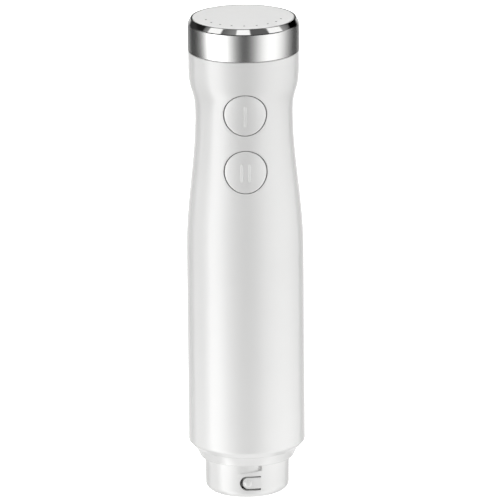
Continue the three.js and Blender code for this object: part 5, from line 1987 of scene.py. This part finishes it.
@dataclass
class Studio:
    """Plain pale floor, walls of light that only shine, soft suns that only fill, and the camera.

    A wall is a list of light levels, each at its number of degrees round from the front. The seams
    are the elevations between which each wall gives way to the next one up, or to the ground.
    Lengths are in metres, but for the camera's lens and sensor, which are in millimetres.
    """

    aim: tuple[float, float, float] = (0.0024, 0.0, 0.1266)
    distance: float = 4.2
    azimuth: float = -1.3
    elevation: float = 15.4
    roll: float = -0.51
    lens: float = 591.4
    sensor: float = 36.0
    clip: Flat = (0.1, 60.0)
    strength: float = 4.0
    low_wall: Wall = (
        (-180, 0.8), (-158, 0.75), (-147, 0.25), (-134, 0.02), (-107, 0.12), (-94, 0.45), (-83, 1.75), (-75, 3.4),
        (-62, 3.8), (-50, 3.3), (-42, 2.5), (-34, 1.75), (-26, 1.15), (-17, 0.5), (-9, 0.15), (0, 0.0),
        (8, 0.05), (16, 0.36), (24, 0.76), (32, 1.3), (41, 1.75), (52, 2.05), (67, 2.05), (80, 1.68),
        (91, 1.22), (103, 0.6), (118, 0.16), (134, 0.0), (146, 0.2), (158, 0.8), (180, 0.8),
    )
    high_wall: Wall = (
        (-180, 1.2), (-170, 1.2), (-162, 0.0), (-101, 0.02), (-98, 0.2), (-88, 0.4), (-86, 1.5), (-57, 1.5),
        (-55, 0.15), (-20, 0.4), (-17.5, 1.5), (14.5, 1.5), (17, 0.15), (60, 0.17), (62, 1.5), (92, 1.5),
        (95, 0.5), (115, 0.15), (118, 0.0), (162, 0.0), (170, 1.2), (180, 1.2),
    )
    ledge: Wall = ((-180, 0.03), (-100, 0.05), (80, 0.06), (100, 0.0), (170, 0.0), (180, 0.03))
    ceiling: float = 0.06
    ground: float = 0.9
    seams: tuple[Flat, Flat, Flat, Flat] = ((3, 7), (17, 22), (56, 62), (-58, -64))
    floor_reach: float = 9.0
    floor_height: float = -0.0002
    floor_glow: float = 0.75
    table_reach: float = 0.5
    table_height: float = -0.0001
    table_sides: int = 64
    table_level: float = 0.43
    table_fade: Wall = ((0.0, 0.55), (0.18, 1.0), (1.0, 0.0))
    fills: Sequence[tuple[str, float, float, float, float]] = (
        ("fill_front", 0, -3, 2.05, 180),
        ("fill_back", 180, -3, 1.3, 180),
        ("fill_left", -118, -3, 1.95, 70),
        ("fill_right", 118, -3, 1.95, 70),
        ("fill_top", 0, 90, 1.4, 40),
    )

    def camera(self) -> bpy.types.Object:
        """Makes the camera at its place, slightly above the middle and far away.

        Returns:
            The camera.
        """
        data = bpy.data.cameras.new("camera")
        data.lens = self.lens
        data.sensor_width = self.sensor
        data.clip_start, data.clip_end = self.clip
        camera = bpy.data.objects.new("camera", data)
        bpy.context.scene.collection.objects.link(camera)
        tilt = math.radians(self.elevation)
        turn = Matrix.Rotation(math.radians(self.azimuth), 4, "Z")
        back = Vector((0.0, -math.cos(tilt), math.sin(tilt)))
        camera.location = turn @ (Vector(self.aim) + back * self.distance)
        leaned = Matrix.Rotation(math.pi / 2 - tilt, 4, "X") @ Matrix.Rotation(math.radians(self.roll), 4, "Z")
        camera.rotation_euler = (turn @ leaned).to_euler()
        bpy.context.scene.camera = camera
        return camera

    @staticmethod
    def bare(name: str) -> bpy.types.Material:
        """Makes a material without any node.

        Args:
            name: the material's name.

        Returns:
            The material.
        """
        material = bpy.data.materials.new(name)
        material.use_nodes = True
        material.node_tree.nodes.clear()
        return material

    @staticmethod
    def sheet(name: str, mesh: bpy.types.Mesh, material: bpy.types.Material) -> bpy.types.Object:
        """Lays a sheet that belongs to the stage and shows in no reflection.

        Args:
            name: the sheet's name.
            mesh: its mesh.
            material: its material.

        Returns:
            The sheet.
        """
        mesh.materials.append(material)
        sheet = bpy.data.objects.new(name, mesh)
        bpy.context.scene.collection.objects.link(sheet)
        sheet.visible_glossy = False
        return sheet

    def floor(self) -> bpy.types.Object:
        """Makes the floor: a pale sheet that takes only the faintest contact shadow.

        Returns:
            The floor.
        """
        mesh = bpy.data.meshes.new("floor")
        reach, level = self.floor_reach, self.floor_height
        corners = [(-reach, -reach, level), (reach, -reach, level), (reach, reach, level), (-reach, reach, level)]
        mesh.from_pydata(corners, [], [(0, 1, 2, 3)])
        material = self.bare("floor_paper")
        tree = material.node_tree
        paper = node(tree, "ShaderNodeBsdfDiffuse", {"Color": linear("#FFFFFF")})
        glow = node(tree, "ShaderNodeEmission", {"Color": linear("#FFFFFF"), "Strength": self.floor_glow})
        lit = node(tree, "ShaderNodeAddShader", {0: paper, 1: glow})
        clear = node(tree, "ShaderNodeBsdfTransparent")
        geometry = node(tree, "ShaderNodeNewGeometry")
        seen = node(tree, "ShaderNodeMixShader", {0: geometry.outputs["Backfacing"], 1: lit, 2: clear})
        node(tree, "ShaderNodeOutputMaterial", {"Surface": seen})
        sheet = self.sheet("floor", mesh, material)
        sheet.visible_diffuse = False
        return sheet

    def table(self) -> bpy.types.Object:
        """Lays the pale round of table that throws light back at the foot and fades outwards.

        Returns:
            The table.
        """
        disc = bmesh.new()
        bmesh.ops.create_circle(disc, cap_ends=True, segments=self.table_sides, radius=self.table_reach)
        bmesh.ops.translate(disc, verts=disc.verts[:], vec=(0.0, 0.0, self.table_height))
        mesh = bpy.data.meshes.new("table_round")
        disc.to_mesh(mesh)
        disc.free()
        material = self.bare("table_sheen")
        tree = material.node_tree
        spot = node(tree, "ShaderNodeTexCoord").outputs["Object"]
        reach = node(tree, "ShaderNodeVectorMath", {0: spot}, operation="LENGTH")
        share = node(tree, "ShaderNodeMath", {0: reach.outputs["Value"], 1: self.table_reach}, operation="DIVIDE")
        fade = self.ramp(tree, share, self.table_fade)
        glow = node(tree, "ShaderNodeEmission", {"Color": fade, "Strength": self.table_level})
        clear = node(tree, "ShaderNodeBsdfTransparent")
        seen = node(tree, "ShaderNodeAddShader", {0: glow, 1: clear})
        node(tree, "ShaderNodeOutputMaterial", {"Surface": seen})
        sheet = self.sheet("table_round", mesh, material)
        sheet.visible_camera = False
        return sheet

    @staticmethod
    def ramp(tree: bpy.types.NodeTree, share: bpy.types.Node, levels: Wall) -> bpy.types.Node:
        """Adds a grey ramp.

        Args:
            tree: the tree that gets it.
            share: the node that gives the place on it, from 0 to 1.
            levels: its places in rising order, each with its level.

        Returns:
            The ramp.
        """
        made = node(tree, "ShaderNodeValToRGB", {"Fac": share})
        elements = made.color_ramp.elements
        elements.remove(elements[-1])
        for i, (position, level) in enumerate(levels):
            element = elements.new(position) if i else elements[0]
            element.position = position
            element.color = (level, level, level, 1.0)
        return made

    def wall(self, tree: bpy.types.NodeTree, azimuth: bpy.types.Node, levels: Wall) -> bpy.types.Node:
        """Adds a wall of light round the studio.

        Args:
            tree: the world's node tree.
            azimuth: the node that gives the direction, 0 and 1 behind the object and 0.5 in front.
            levels: the wall's levels.

        Returns:
            The node with the wall's colour.
        """
        return self.ramp(tree, azimuth, [((angle + 180) / 360, level / self.strength) for angle, level in levels])

    def world(self) -> None:
        """Hangs the walls of light: a low one, a high one above a dark ledge, a ceiling and a ground.

        They show in what shines and light nothing else.
        """
        world = bpy.data.worlds.new("studio")
        world.use_nodes = True
        bpy.context.scene.world = world
        world.cycles_visibility.diffuse = False
        tree = world.node_tree
        tree.nodes.clear()
        direction = node(tree, "ShaderNodeTexCoord").outputs["Generated"]
        parts = node(tree, "ShaderNodeSeparateXYZ", {0: direction})
        back = node(tree, "ShaderNodeMath", {0: parts.outputs["Y"], 1: -1.0}, operation="MULTIPLY")
        turn = node(tree, "ShaderNodeMath", {0: parts.outputs["X"], 1: back}, operation="ARCTAN2")
        round_share = {0: turn, 1: 1 / (2 * math.pi), 2: 0.5}
        azimuth = node(tree, "ShaderNodeMath", round_share, operation="MULTIPLY_ADD")
        shown = self.wall(tree, azimuth, self.low_wall)
        ceiling, ground = ((level / self.strength,) * 3 + (1.0,) for level in (self.ceiling, self.ground))
        ledge = self.wall(tree, azimuth, self.ledge)
        high = self.wall(tree, azimuth, self.high_wall)
        for (lower, upper), colour in zip(self.seams, (ledge, high, ceiling, ground)):
            edge = {"From Min": math.sin(math.radians(lower)), "From Max": math.sin(math.radians(upper))}
            share = node(tree, "ShaderNodeMapRange", {"Value": parts.outputs["Z"], **edge})
            mixed = node(tree, "ShaderNodeMix", {0: share, FIRST: shown, SECOND: colour}, data_type="RGBA")
            shown = mixed.outputs[MIXED]
        shine = node(tree, "ShaderNodeBackground", {"Color": shown, "Strength": self.strength})
        node(tree, "ShaderNodeOutputWorld", {"Surface": shine})

    def fill(self, name: str, azimuth: float, elevation: float, strength: float, breadth: float) -> None:
        """Adds a broad sun, as soft as a white wall, that fills shade but shows in no reflection.

        Args:
            name: the sun's name.
            azimuth: degrees round from the front.
            elevation: degrees above the level.
            strength: watts for each square metre.
            breadth: degrees across.
        """
        data = bpy.data.lights.new(name, "SUN")
        data.energy = strength
        data.angle = math.radians(breadth)
        sun = bpy.data.objects.new(name, data)
        bpy.context.scene.collection.objects.link(sun)
        rise = math.radians(elevation)
        turn = math.radians(azimuth)
        away = Vector((math.sin(turn) * math.cos(rise), -math.cos(turn) * math.cos(rise), math.sin(rise)))
        sun.location = away
        sun.rotation_euler = away.to_track_quat("Z", "Y").to_euler()
        sun.visible_glossy = False

    def build(self) -> None:
        """Builds the whole studio."""
        self.camera()
        self.floor()
        self.table()
        self.world()
        for fill in self.fills:
            self.fill(*fill)
        bpy.context.scene.view_settings.view_transform = "Standard"


# ------------------------------------------------------------------ whole


def main() -> None:
    """Builds the handle, piece by piece, and its studio."""
    logging.basicConfig(level=logging.INFO, format="%(name)s %(message)s")
    Studio().build()
    sleeve = OuterSleeve()
    sleeve.build()
    for number, body, height in zip((1, 2), (Body.UPPER, Body.LOWER), sleeve.button_heights):
        PushButton(number, body, height, sleeve).build()
    collar = BayonetCollar()
    collar.build()
    LatchTongue(collar).build()
    SpeedRing().build()
    lights = Indicators()
    TopDisc().build(lights)
    lights.build()
    ChargePort().build()
    DriveCoupling().build()
    LOG.info("%d CAD nodes dressed", InnerWorks().build())


if __name__ == "__main__":
    main()
